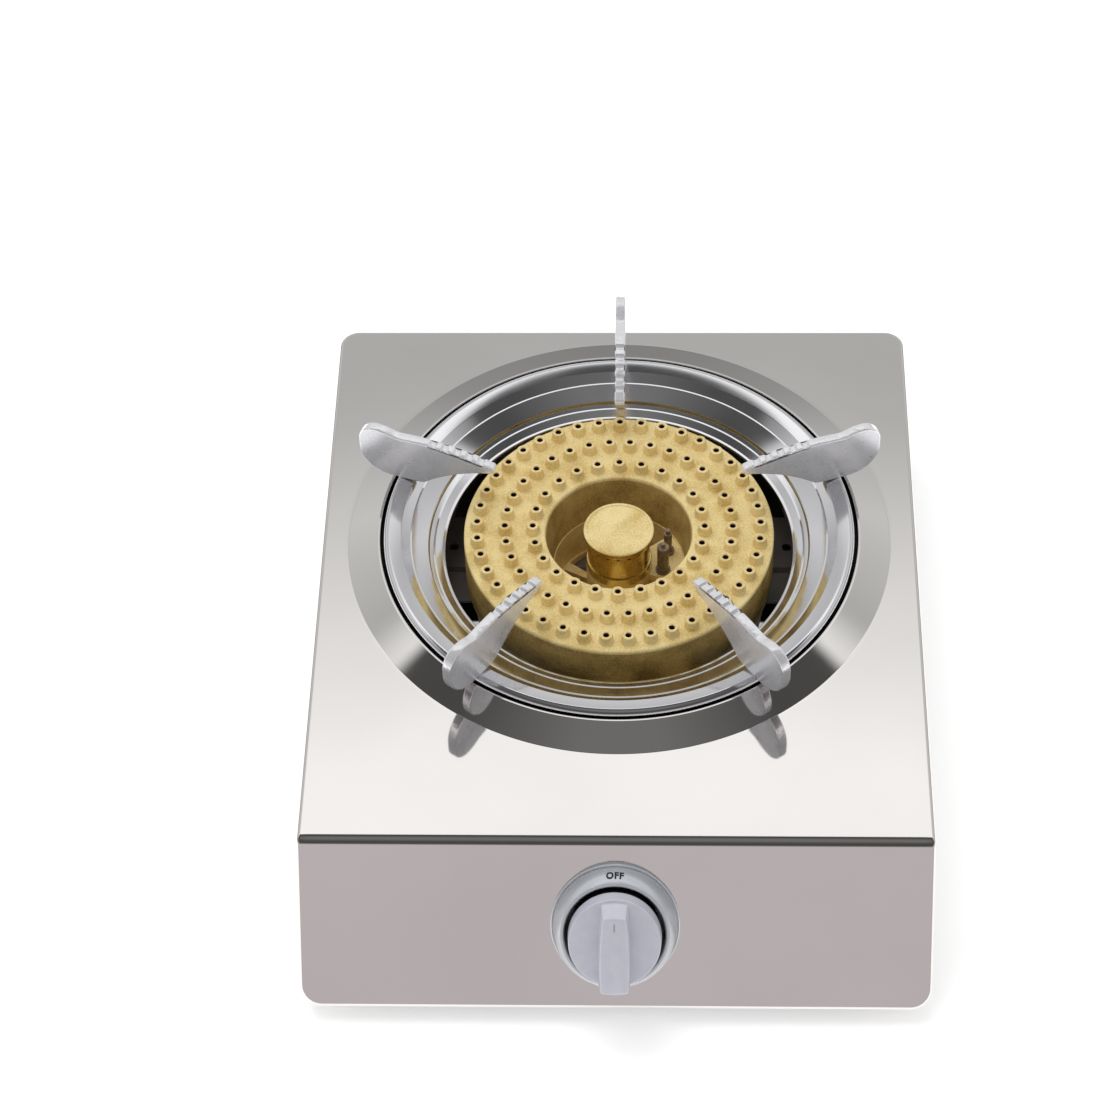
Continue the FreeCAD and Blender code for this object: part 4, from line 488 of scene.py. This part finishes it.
def gold_paint(name, dark, pale, pits):
    """Heat-proof gold paint on a casting: matte, with the sand's grain as deep as the pits are."""
    material, tree, shader = new_material(name, Metallic=0.2)
    place = node(tree, "TexCoord").outputs["Object"]
    fine = node(tree, "TexNoise", {"Vector": place, "Scale": 1 / GOLD_GRAIN, "Detail": 3.0,
                                   "Roughness": 0.6}).outputs["Fac"]
    wide = node(tree, "TexNoise", {"Vector": place, "Scale": 1 / GOLD_PATCH, "Detail": 2.0}).outputs["Fac"]
    grain = node(tree, "MapRange", {"Value": fine, "From Min": 0.3, "From Max": 0.7,
                                    "To Min": -0.2, "To Max": 0.2}).outputs["Result"]
    level = node(tree, "Math", {0: grain, 1: wide}, operation="ADD").outputs["Value"]
    colour = node(tree, "ValToRGB", {"Fac": level}, [(0.2, linear(dark)), (0.65, linear(pale))])
    tree.links.new(colour.outputs["Color"], shader.inputs["Base Color"])
    rough = node(tree, "MapRange", {"Value": fine, "To Min": 0.42, "To Max": 0.58})
    tree.links.new(rough.outputs["Result"], shader.inputs["Roughness"])
    bump = node(tree, "Bump", {"Height": fine, "Strength": 0.5, "Distance": pits})
    tree.links.new(bump.outputs["Normal"], shader.inputs["Normal"])
    return material


# The paint is a pale brass yellow. On the head it is painted paler than on the cap, as painted light where
# the head lies in shade inside the burner.
head_gold_painted_light = gold_paint("gold_paint_on_head_painted_light", "#dcbb72", "#f6e0a0", 0.15 * MM)
dress(["burner_head"], head_gold_painted_light)

# Electrode and flame probe: ceramic posts with a wire tip, held in the shelf by collars.
# Their brown glaze is shiny.
ceramic = mottled("brown_glazed_ceramic", 2 * MM, "#6b5b45", "#8a7759", 0.18, 0.3)
dress(["ignition_electrode", "flame_probe"], ceramic)

# Burner cap: a cast ring that lies loose on the head, with three rings of drilled nozzles on top.
# The gold paint covers it all, thin on the nozzles' rims, and the ports are coloured near black as painted
# shade, each ending in a floor just above the crown in place of the hole's dark depth.
CAP_RADIUS = 75.5
CAP_RISE = 4.9
CAP_FOOT = -19.0
EYE_RADIUS = 35.515
WALL_RISE = CAP_RISE - 2.0
HOLLOW_EDGE = (72.0, 0.4)
NOZZLE_RISE = 4.9
RIM_FOOT = (3.04, 4.55)
BORE_MOUTH = (1.4, 4.3)
NOZZLE_RINGS = (41.8, 55.4, 69.0)
NOZZLES = (24, 34, 41)
cap_gold = gold_paint("gold_paint_on_cap", "#cdb068", "#edd99e", 0.12 * MM)
# On the cap's walls the paint is browner and darker than on its top, as painted shade on the walls, and their
# grain is coarser.
wall_gold_painted_shade = gold_paint("gold_paint_painted_darker_on_coarse_wall", "#8c7038", "#c8a864", 0.5 * MM)
worn_gold = gold_paint("gold_paint_worn_thin", "#cfb26f", "#ead49c", 0.1 * MM)
port_painted_shade = mottled("drilled_port_painted_shade", 1 * MM, "#22130a", "#3a2415", 0.75, 0.85)
wall_lines = [
    np.array(in_mm(HOLLOW_EDGE, (72.0, CAP_FOOT), (CAP_RADIUS, CAP_FOOT), (CAP_RADIUS, WALL_RISE))),
    np.array(in_mm((EYE_RADIUS, WALL_RISE), (32.4, CAP_FOOT), (35.9, CAP_FOOT), (39.3, 0.4), HOLLOW_EDGE)),
]
crown_line = rounded(in_mm((CAP_RADIUS, WALL_RISE), (CAP_RADIUS, CAP_RISE, 1.2), (35.8, CAP_RISE, 1.2),
                           (EYE_RADIUS, WALL_RISE)), 6)
nozzle_line = rounded(in_mm((0.0, -0.05), (4.1, -0.05), (3.62, 0.1, 0.25), RIM_FOOT), 3)
rim_line = rounded(in_mm(RIM_FOOT, (3.0, NOZZLE_RISE, 0.3), (1.6, NOZZLE_RISE, 0.2), BORE_MOUTH), 3)
# Each port's near-black floor is painted shade that stands in for the rest of the hole.
bore_line = np.array(in_mm(BORE_MOUTH, (1.4, 0.1), (0.0, 0.1)))
angles = np.radians(np.concatenate([
    90 + 360 * (np.arange(count) + shift) / count for count, shift in zip(NOZZLES, (0.0, 0.5, 0.0))]))
radii = np.repeat(NOZZLE_RINGS, NOZZLES) * MM
seats = burner_axis + np.stack([radii * np.cos(angles), radii * np.sin(angles),
                                np.full_like(radii, CAP_RISE * MM)], axis=-1)
cap_grids = [(turned(crown_line, burner_axis, 240), True, 0)]
cap_grids += [(turned(line, burner_axis, 240), True, 1) for line in wall_lines]
for line, number in ((nozzle_line, 0), (rim_line, 2), (bore_line, 3)):
    one = turned(line, (0, 0, 0), 24)
    cap_grids += [(one + seat, True, number) for seat in seats]
cap = make_piece("burner_cap_casting", cap_grids, [cap_gold, wall_gold_painted_shade, worn_gold, port_painted_shade],
                 "burner_cap")
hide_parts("burner_cap")

# Centre cap: a turned brass cup that drops over the hub, with small flame slots under its lip.
# Its top has the burner's gold paint inside a raised rim, and its side is left polished.
SLOTS = 18
SLOT_BAND = 3.7
CUP_RADIUS = 15.2
LIP_EDGE = (17.15, 6.2)
lid_line = rounded(in_mm(LIP_EDGE, (17.15, 7.1, 0.8), (15.6, 7.1, 0.3), (15.2, 6.6, 0.3), (6.0, 6.6),
                         (0.0, 6.6)), 5)
lip_line = rounded(in_mm((CUP_RADIUS, SLOT_BAND), (17.15, SLOT_BAND, 0.2), LIP_EDGE), 4)
foot_line = rounded(in_mm((0.0, SLOT_BAND), (13.2, SLOT_BAND), (13.2, -18.0), (16.0, -18.0),
                          (16.0, -13.0, 0.4), (CUP_RADIUS, -13.0), (CUP_RADIUS, 0.0)), 5)
slot_angle = np.pi / SLOTS
across = np.linspace(-1, 1, 9)
border = np.concatenate([np.stack([across, 0 * across], axis=-1), [(1, 1)],
                         np.stack([across[::-1], 2 + 0 * across], axis=-1), [(-1, 1)]])
border = border * (slot_angle, SLOT_BAND / 2 * MM)
slot_edge = np.concatenate([
    straight((-1.2, 0.5), (1.2, 0.5), 9), [(0.7, 1.1)], straight((0.64, 1.3), (0, 2.8), 4), [(0, 2.6)],
    straight((0, 2.8), (-0.64, 1.3), 4), [(-0.7, 1.1)]]) * MM / (CUP_RADIUS * MM, 1.0)
flat = np.stack([slot_edge, slot_edge, border])
reach = np.array([13.3, CUP_RADIUS, CUP_RADIUS])[:, None] * MM
at = np.arange(SLOTS)[:, None, None] * 2 * slot_angle
band = burner_axis + np.stack([reach * np.sin(flat[..., 0] + at), -reach * np.cos(flat[..., 0] + at),
                               flat[..., 1] + np.zeros_like(at)], axis=-1)
centre_grids = [(turned(line, burner_axis, 144), True, number)
                for line, number in ((lid_line, 1), (lip_line, 0), (foot_line, 0))]
centre_grids += [(part[::-1], True, 0) for part in band]
slot_ends = [(part[0], 0) for part in band]
centre = make_piece("centre_cap_turned", centre_grids, [brass, cap_gold], "centre_cap",
                    slot_ends)
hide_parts("centre_cap")

# Drip pan: bright thin sheet spun in slopes with fine beads between them, dropped into the panel's ring.
# Spinning leaves it nearly a mirror, so reflections run round it in crisp bands.
PAN_SHEET = 0.6 * MM
pan_steel = mottled("spun_bright_steel", 40 * MM, "#eeeef1", "#f5f5f7", 0.09, 0.15, Metallic=1.0)
pan_line = rounded(in_mm(
    (114.8, 2.0), (114.8, 8.55, 2.9), (106.0, 6.92, 0.6), (101.7, 3.5, 0.2), (100.9, 3.45, 0.2),
    (93.0, -0.9, 0.4), (92.5, -2.7, 0.4), (90.6, -3.4, 0.3), (89.7, -3.45, 0.3), (86.4, -5.3, 0.4),
    (84.9, -5.4, 0.4), (84.9, -9.2)), 6)
pan = make_piece("drip_pan_sheet", [(turned(pan_line, burner_axis, 288), True, 0)], [pan_steel], "pan",
                 sharp=60.0)
thicken(pan, PAN_SHEET)
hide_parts("drip_pan")

# Pot supports: five cast fins with silver heat-proof enamel, spot-fixed on the pan's rim.
# Their inner top edges have small notches that keep a pot from sliding.
FIN_HALF = 2.5 * MM
FIN_ROUND = 0.8 * MM
ENAMEL_LUMP = 2.4 * MM
LUMP_RISE = 0.4 * MM
FINS = 5

# The outline is in millimetres, out from the burner's axis and up from the panel's top, its turns in degrees.
FIN_FOOT = 8.1
FIN_HEEL = (116.4, FIN_FOOT)
FIN_EAR = (133.4, 30.0)
EAR_TURN = 24
DIP_TURN = 28
CROWN_TURN = 21.2
CROWN_ROUND = 128.0
BELLY_TURN = 26.5
TOE_TURN = 40
TOE_ROUND = 6.0
NOTCHES = 5
NOTCH_FIRST = 3.3
NOTCH_STEP = 2.8
NOTCH_ROUND = 2.2
NOTCH_REACH = 129.1


def tangent_arcs(start, heading, turns):
    """Arcs that follow one another smoothly: each (radius, angle) turns left, or right if negative."""
    lines, at = [], np.array(start, float)
    for radius, angle in turns:
        side = math.copysign(1, angle)
        centre = at + side * radius * np.array([-math.sin(heading), math.cos(heading)])
        steps = 3 + int(abs(angle) * 0.5 + abs(math.radians(angle)) * radius / 1.2)
        sweep = heading + np.radians(angle) * np.linspace(0, 1, steps)
        line = centre + side * radius * np.stack([np.sin(sweep), -np.cos(sweep)], axis=-1)
        lines.append(line[1:])
        at, heading = line[-1], sweep[-1]
    return lines, at, heading


toe_drop = TOE_ROUND * (1 - math.cos(math.radians(TOE_TURN)))
upper, tip, heading = tangent_arcs((124.6, 38.8), math.pi, [
    (18.9, EAR_TURN), (12.0, -DIP_TURN), (CROWN_ROUND, CROWN_TURN), (2.0, 149.3)])
belly_fall = math.cos(math.radians(TOE_TURN - BELLY_TURN)) - math.cos(math.radians(TOE_TURN))
belly = (tip[1] - toe_drop - FIN_FOOT) / belly_fall
lower, toe, _ = tangent_arcs(tip, heading, [(belly, -BELLY_TURN), (TOE_ROUND, TOE_TURN)])
outer, ear, _ = tangent_arcs(FIN_HEEL, 0, [(17.0, 90)])
ear_end, _, _ = tangent_arcs(FIN_EAR, math.pi / 2, [(8.8, 90)])
crown_start = EAR_TURN - DIP_TURN
lean = math.radians(180 + crown_start)
crown_centre = upper[1][-1] + CROWN_ROUND * np.array([-math.sin(lean), math.cos(lean)])
sweep = np.linspace(math.radians(crown_start + 0.001), math.radians(crown_start + CROWN_TURN), 240)
notch_at = np.radians(NOTCH_FIRST + NOTCH_STEP * np.arange(NOTCHES))[:, None]
aside = np.abs(sweep - notch_at)
chord = np.clip(NOTCH_ROUND ** 2 - (NOTCH_REACH * np.sin(aside)) ** 2, 0, None)
notched = np.where(chord > 0, NOTCH_REACH * np.cos(aside) - np.sqrt(chord), CROWN_ROUND).min(axis=0)
notched = np.minimum(notched, CROWN_ROUND)[:, None]
crown = crown_centre + notched * np.stack([-np.sin(sweep), np.cos(sweep)], axis=-1)
fin = np.concatenate([upper[0], upper[1], crown[1:], upper[3], lower[0], lower[1],
                      straight(toe, FIN_HEEL, 12), [FIN_HEEL], outer[0], straight(ear, FIN_EAR, 3), [FIN_EAR],
                      ear_end[0]]) * MM
step = np.roll(fin, -1, axis=0) - np.roll(fin, 1, axis=0)
inward = np.stack([-step[:, 1], step[:, 0]], axis=-1) / np.linalg.norm(step, axis=1, keepdims=True)
quarter = np.linspace(0, np.pi / 2, 5)
across = np.concatenate([-FIN_HALF + FIN_ROUND * (1 - np.cos(quarter)),
                         FIN_HALF - FIN_ROUND * (1 - np.sin(quarter))])
insets = np.concatenate([FIN_ROUND * (1 - np.sin(quarter)), FIN_ROUND * (1 - np.cos(quarter))])
loop = fin + inward * insets[:, None, None]
fin_skin = np.stack([loop[..., 0], across[:, None] + 0 * loop[..., 0], loop[..., 1]], axis=-1)

# The enamel is a pale silver grey, smooth on the sides, and uneven and shinier along the edges.
enamel = mottled("fired_silver_enamel", 12 * MM, "#e6e7ec", "#f2f2f6", 0.24, 0.32, Metallic=0.5)
edge_enamel, tree, shader = new_material("fired_silver_enamel_on_edges", Metallic=0.6)
shader.inputs["Base Color"].default_value = linear("#f0f0f3")
place = node(tree, "TexCoord").outputs["Object"]
lumps = node(tree, "TexNoise", {"Vector": place, "Scale": 1 / ENAMEL_LUMP, "Detail": 2.0}).outputs["Fac"]
gloss = node(tree, "MapRange", {"Value": lumps, "To Min": 0.14, "To Max": 0.3})
tree.links.new(gloss.outputs["Result"], shader.inputs["Roughness"])
bump = node(tree, "Bump", {"Height": lumps, "Strength": 0.6, "Distance": LUMP_RISE})
tree.links.new(bump.outputs["Normal"], shader.inputs["Normal"])
for number in range(FINS):
    turn = math.radians(90 + 360 / FINS * number)
    about = np.array([[math.cos(turn), math.sin(turn), 0], [-math.sin(turn), math.cos(turn), 0], [0, 0, 1]])
    skin = fin_skin @ about + burner_axis
    support = make_piece(f"pot_support_casting_{number + 1}", [(skin[::-1], True, 1)], [enamel, edge_enamel],
                         "pan", [(skin[0], 0), (skin[-1][::-1], 0)])
    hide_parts(f"pot_support_{number + 1}")

# Bezel: a ring moulded in silver-coloured plastic, pushed into the panel's hole round the knob.
# A fine groove parts its flat brim from its dome.
front_out = np.array([0, -math.cos(FRONT_TILT), math.sin(FRONT_TILT)])
front_up = np.array([0, math.sin(FRONT_TILT), math.cos(FRONT_TILT)])
knob_centre = np.array([0, bend_y, top]) - KNOB_DROP * front_up
front_axes = ((1, 0, 0), front_up, front_out)


def on_front(points):
    """Points given across, up the slope and out of the front, put on the sloped front."""
    return knob_centre + points @ np.array(front_axes, float)


# Plated plastic has a bright silver skin that mirrors softly.
plated_plastic = mottled("plated_silver_plastic", 20 * MM, "#c8cbd1", "#d0d3d8", 0.22, 0.26, Metallic=0.45)
BEZEL_EYE = 23.0
BEZEL_FOOT = -3.0
BRIM_RADIUS = 29.6
BRIM_RISE = 1.2
DOME_BULGE = 1.2
dome_foot = np.array([28.2, 2.4])
dome_crest = np.array([24.8, 13.5])
share = np.linspace(0, 1, 17)[1:-1, None]
dome_way = dome_crest - dome_foot
dome_side = np.array([dome_way[1], -dome_way[0]]) / np.linalg.norm(dome_way)
dome = dome_foot + dome_way * share + 4 * DOME_BULGE * share * (1 - share) * dome_side
bezel_line = rounded(in_mm(
    (BEZEL_EYE, BEZEL_FOOT), (25.2, BEZEL_FOOT), (25.2, 0.0), (BRIM_RADIUS, 0.0),
    (BRIM_RADIUS, BRIM_RISE, 0.3), (28.9, 1.8, 0.1), (28.75, BRIM_RISE), (28.3, BRIM_RISE),
    (*dome_foot, 0.1), *dome, (*dome_crest, 0.5), (23.6, 13.5, 0.3), (BEZEL_EYE, 12.9, 0.1),
    (BEZEL_EYE, BEZEL_FOOT)), 4)
bezel_skin = turned(bezel_line, knob_centre, 192, front_axes)
bezel = make_piece("knob_bezel_moulding", [(bezel_skin, True, 0)], [plated_plastic], "case")
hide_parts("knob_bezel")

# Knob: a hollow moulding pushed onto the valve stem, pressed and turned by the bar across its face.
# Its plastic is satin silver with a cool tint, and the part of it that runs in the bezel is drawn black,
# which gives the dark ring in the gap round the knob.
silver = mottled("satin_silver_plastic", 5 * MM, "#c7c8d3", "#cdced8", 0.3, 0.36, Metallic=0.2)
KNOB_FOOT = 5.0
KNOB_CEILING = 21.5
KNOB_FACE = 23.5
COLLAR_EDGE = (21.3, 15.2)
collar_line = rounded(in_mm(
    (0.0, KNOB_FOOT), (7.0, KNOB_FOOT), (7.0, KNOB_CEILING), (18.9, KNOB_CEILING), (19.4, KNOB_FOOT),
    (20.6, KNOB_FOOT, 0.4), (20.4, 15.2), COLLAR_EDGE), 4)
face_line = rounded(in_mm(COLLAR_EDGE, (20.9, KNOB_FACE, 0.8), (0.0, KNOB_FACE)), 6)

# The grip is in millimetres, measured from the knob's axis and out of the sloped front.
GRIP_LOW_WIDTH = 14.2
GRIP_HIGH_WIDTH = 12.2
GRIP_LOW = 21.5
GRIP_BULGE = 0.8
GRIP_FOOT = 22.5
GRIP_TOP = 34.0
GRIP_ROUND = 1.0


def grip_outline(inset, high):
    """The grip bar seen from above: four bowed sides between corners, the corners rounded."""
    low_x, high_x = GRIP_LOW_WIDTH / 2 - inset, GRIP_HIGH_WIDTH / 2 - inset
    low_y, high_y = inset - GRIP_LOW + GRIP_BULGE, high - GRIP_BULGE
    ends = np.array([(-low_x, low_y), (low_x, low_y), (high_x, high_y), (-high_x, high_y)])
    points = []
    for start, end in zip(ends, np.roll(ends, -1, axis=0)):
        share = np.linspace(0, 1, 13)[1:-1, None]
        way = (end - start) / np.linalg.norm(end - start)
        bow = 4 * GRIP_BULGE * share * (1 - share) * np.array([way[1], -way[0]])
        points += [(*start, GRIP_ROUND), *map(tuple, start + (end - start) * share + bow)]
    return rounded(points, 6, closed=True)


low_loop, high_loop = grip_outline(0.0, 19.6), grip_outline(0.8, 16.0)
round_turn = np.linspace(0, np.pi / 2, 6)
levels = np.concatenate([[GRIP_FOOT], GRIP_TOP - GRIP_ROUND + GRIP_ROUND * np.sin(round_turn)])
pull = np.concatenate([[0.0], GRIP_ROUND * (1 - np.cos(round_turn))])
share = (levels - GRIP_FOOT)[:, None, None] / (GRIP_TOP - GRIP_FOOT)
loops = low_loop * (1 - share) + high_loop * share
way = np.roll(loops, -1, axis=1) - np.roll(loops, 1, axis=1)
inner = np.stack([-way[..., 1], way[..., 0]], axis=-1) / np.linalg.norm(way, axis=-1, keepdims=True)
loops = loops + inner * pull[:, None, None]
heights = np.broadcast_to(levels[:, None, None], loops.shape[:2] + (1,))
grip = on_front(np.concatenate([loops, heights], axis=-1) * MM)
collar, face = [turned(line, knob_centre, 160, front_axes) for line in (collar_line, face_line)]
knob = make_piece("knob_moulding", [(face, True, 0), (grip, True, 0), (collar, True, 1)],
                  [silver, black_plastic], "knob", [(grip[-1], 0), (grip[0, ::-1], 0)])
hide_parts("knob")

# Printed word on the bezel and pointer on the knob: ink padded on after moulding.
# It is flat and matte, black on the bezel and pale grey on the knob.
black_ink = mottled("black_pad_ink", 0.4 * MM, "#15171c", "#1f2127", 0.5, 0.6)
grey_ink = mottled("grey_pad_ink", 0.4 * MM, "#8f929c", "#9a9da6", 0.5, 0.6)

# The word's start and height are shares of the dome's slope, the other sizes millimetres.
WORD_START = 0.24
WORD_SHARE = 0.37
WORD_WIDTH = 8.0
WORD_RADIUS = 27.0
PRINT_OUT = 0.05
PRINT_LIFT = 0.02
letters = bpy.data.curves.new("off_word", "FONT")
letters.body = "OFF"
letters.align_x = "CENTER"
letters.offset = 0.05
letters.space_character = 1.15
letters.resolution_u = 4
flat_word = bpy.data.objects.new("off_word_flat", letters)
bpy.context.scene.collection.objects.link(flat_word)
bpy.context.view_layer.update()
word_mesh = bpy.data.meshes.new_from_object(flat_word)
bpy.data.objects.remove(flat_word)
build = bmesh.new()
build.from_mesh(word_mesh)
tall = max(vertex.co.y for vertex in build.verts)
for level in np.linspace(0, tall, 10)[1:-1]:
    everything = build.verts[:] + build.edges[:] + build.faces[:]
    bmesh.ops.bisect_plane(build, geom=everything, plane_co=(0, level, 0), plane_no=(0, 1, 0))
build.to_mesh(word_mesh)
build.free()
co = np.empty(len(word_mesh.vertices) * 3, np.float32)
word_mesh.vertices.foreach_get("co", co)
co = co.reshape(-1, 3).astype(float)
span = co[:, 0].max() - co[:, 0].min()
slope = np.concatenate([[dome_crest], dome[::-1], [dome_foot]])
run = np.concatenate([[0], np.cumsum(np.linalg.norm(np.diff(slope, axis=0), axis=1))])
along = (WORD_START + WORD_SHARE * co[:, 1] / tall) * run[-1]
radius = np.interp(along, run, slope[:, 0]) + PRINT_OUT
height = np.interp(along, run, slope[:, 1]) + PRINT_LIFT
turn = co[:, 0] / span * WORD_WIDTH / WORD_RADIUS
word = on_front(np.stack([radius * np.sin(turn), radius * np.cos(turn), height], axis=-1) * MM)
word_mesh.vertices.foreach_set("co", word.astype(np.float32).ravel())
word_mesh.materials.append(black_ink)
word_mesh.update()
word_piece = bpy.data.objects.new("off_word_print", word_mesh)
bpy.context.scene.collection.objects.link(word_piece)
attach(word_piece, "case")

pointer = np.array([[(x, y, GRIP_TOP + PRINT_LIFT) for x in (-0.35, 0.35)] for y in (9.6, 13.2)])
make_piece("pointer_print", [(on_front(pointer * MM), False, 0)], [grey_ink], "knob")

# Studio: a floor of white paper, a soft lamp above, and a tent of grey cloth with a dark round canopy
# over it, which only the stove's shiny finishes see.
floor_mesh = bpy.data.meshes.new("floor")
floor_mesh.from_pydata([(-6, -6, 0), (6, -6, 0), (6, 6, 0), (-6, 6, 0)], [], [(0, 1, 2, 3)])
floor = bpy.data.objects.new("floor", floor_mesh)
bpy.context.scene.collection.objects.link(floor)
paper, tree, shader = new_material("white_paper", Roughness=0.9)
shader.inputs["Base Color"].default_value = linear("#f7f7f7")


def seen_directly(tree):
    """One for camera, mirror and glass rays, nothing for the light that falls on the object."""
    rays = node(tree, "LightPath").outputs
    mirrored = node(tree, "Math", {0: rays["Is Camera Ray"], 1: rays["Is Glossy Ray"]}, operation="MAXIMUM")
    passed = node(tree, "Math", {0: mirrored.outputs["Value"], 1: rays["Is Transmission Ray"]},
                  operation="MAXIMUM")
    return passed.outputs["Value"]


white = node(tree, "MapRange", {"Value": seen_directly(tree), "To Min": 0.0, "To Max": 0.3})
tree.links.new(white.outputs["Result"], shader.inputs["Emission Strength"])
shader.inputs["Emission Color"].default_value = (1, 1, 1, 1)
floor_mesh.materials.append(paper)

world = bpy.data.worlds.new("studio")
bpy.context.scene.world = world
world.use_nodes = True
tree = world.node_tree
background = tree.nodes["Background"]
strength = node(tree, "MapRange", {"Value": seen_directly(tree), "To Min": 0.75, "To Max": 1.0})
tree.links.new(strength.outputs["Result"], background.inputs["Strength"])
background.inputs["Color"].default_value = (1, 1, 1, 1)

lamp_data = bpy.data.lights.new("soft_lamp", "AREA")
lamp_data.energy = 22.0
lamp_data.size = 1.6
lamp = bpy.data.objects.new("soft_lamp", lamp_data)
lamp.location = (-0.5, 0.5, 2.3)
lamp.rotation_euler = (math.radians(-12), math.radians(-12), 0)
lamp.visible_glossy = False
bpy.context.scene.collection.objects.link(lamp)

TENT = 3.0
around = np.linspace(0, 2 * np.pi, 96, endpoint=False)
rise = np.linspace(0, np.pi / 2, 32)[:, None]
tent_points = TENT * np.stack([np.cos(rise) * np.cos(around), np.cos(rise) * np.sin(around),
                               np.sin(rise) + 0 * around], axis=-1)
tent = make_piece("cloth_tent", [(tent_points[::-1], True, 0)], [], None)
cloth, tree, shader = new_material("tent_cloth")
place = node(tree, "TexCoord").outputs["Object"]
parts = node(tree, "SeparateXYZ", {"Vector": place}).outputs
up = node(tree, "Math", {0: parts["Z"], 1: TENT}, operation="DIVIDE").outputs["Value"]

# Cloth tones are pairs of a height, as a share of the tent's, and a brightness or colour.
BACK_CLOTH = [(0.0, 0.20), (0.09, 0.26), (0.18, 0.32), (0.30, 0.50), (0.47, 0.65), (0.6, 0.56), (0.70, 0.48),
              (0.72, 0.52), (0.762, 0.77), (0.79, 0.90), (0.815, 1.06), (1.0, 1.07)]
FRONT_CLOTH = [(0.0, (0.45, 0.42, 0.43)), (0.15, (0.54, 0.50, 0.52)), (0.29, (0.55, 0.505, 0.525)),
               (0.34, (0.20, 0.20, 0.20)), (0.6, (0.14, 0.14, 0.14)), (1.0, (0.14, 0.14, 0.14))]
back_light = node(tree, "ValToRGB", {"Fac": up}, [(at, (grey, grey, grey, 1)) for at, grey in BACK_CLOTH])
front_light = node(tree, "ValToRGB", {"Fac": up}, [(at, (*tint, 1)) for at, tint in FRONT_CLOTH])
behind = node(tree, "MapRange", {"Value": parts["Y"], "From Min": -0.5, "From Max": 0.5}).outputs["Result"]
cloth_light = node(tree, "Mix", {"Factor": behind, 6: front_light.outputs["Color"],
                                 7: back_light.outputs["Color"]}, data_type="RGBA").outputs[2]
ahead = node(tree, "Math", {0: parts["Y"], 1: 0.2 * TENT}, operation="ADD").outputs["Value"]
plan = node(tree, "CombineXYZ", {"X": parts["X"], "Y": ahead}).outputs["Vector"]
off_centre = node(tree, "VectorMath", {0: plan}, operation="LENGTH").outputs["Value"]
canopy_edge = node(tree, "MapRange", {"Value": off_centre, "From Min": 0.68 * TENT, "From Max": 0.73 * TENT},
                   interpolation_type="SMOOTHSTEP").outputs["Result"]
shade = node(tree, "MapRange", {"Value": off_centre, "From Min": 0.15 * TENT, "From Max": 0.5 * TENT,
                                "To Min": 0.17, "To Max": 0.07}).outputs["Result"]
lit = node(tree, "Mix", {"Factor": canopy_edge, 6: shade, 7: cloth_light}, data_type="RGBA").outputs[2]
glow = node(tree, "Emission", {"Color": lit, "Strength": 1.0})
tree.links.new(glow.outputs["Emission"], tree.nodes["Material Output"].inputs["Surface"])
tent.data.materials.append(cloth)
tent.visible_camera = False
tent.visible_diffuse = False
tent.visible_transmission = False
tent.visible_shadow = False

# Camera: a long lens above the front, turned a little to the left, as the photograph was taken.
camera_at = burner_axis + np.array([18.55, -1058.61, 1216.83]) * MM
pitch, yaw, roll = np.radians([49.147, -2.831, -2.013])
forward = np.array([math.sin(yaw) * math.cos(pitch), math.cos(yaw) * math.cos(pitch), -math.sin(pitch)])
level_right = np.array([math.cos(yaw), -math.sin(yaw), 0])
level_up = np.cross(level_right, forward)
right = math.cos(roll) * level_right + math.sin(roll) * level_up
upward = -math.sin(roll) * level_right + math.cos(roll) * level_up
camera_data = bpy.data.cameras.new("camera")
camera_data.lens = 108.13
camera_data.sensor_width = 36.0
camera = bpy.data.objects.new("camera", camera_data)
turned_axes = np.stack([right, upward, -forward, camera_at], axis=-1)
camera.matrix_world = Matrix([*turned_axes.tolist(), [0, 0, 0, 1]])
bpy.context.scene.collection.objects.link(camera)
bpy.context.scene.camera = camera
bpy.context.scene.view_settings.view_transform = "Standard"

bpy.context.view_layer.update()
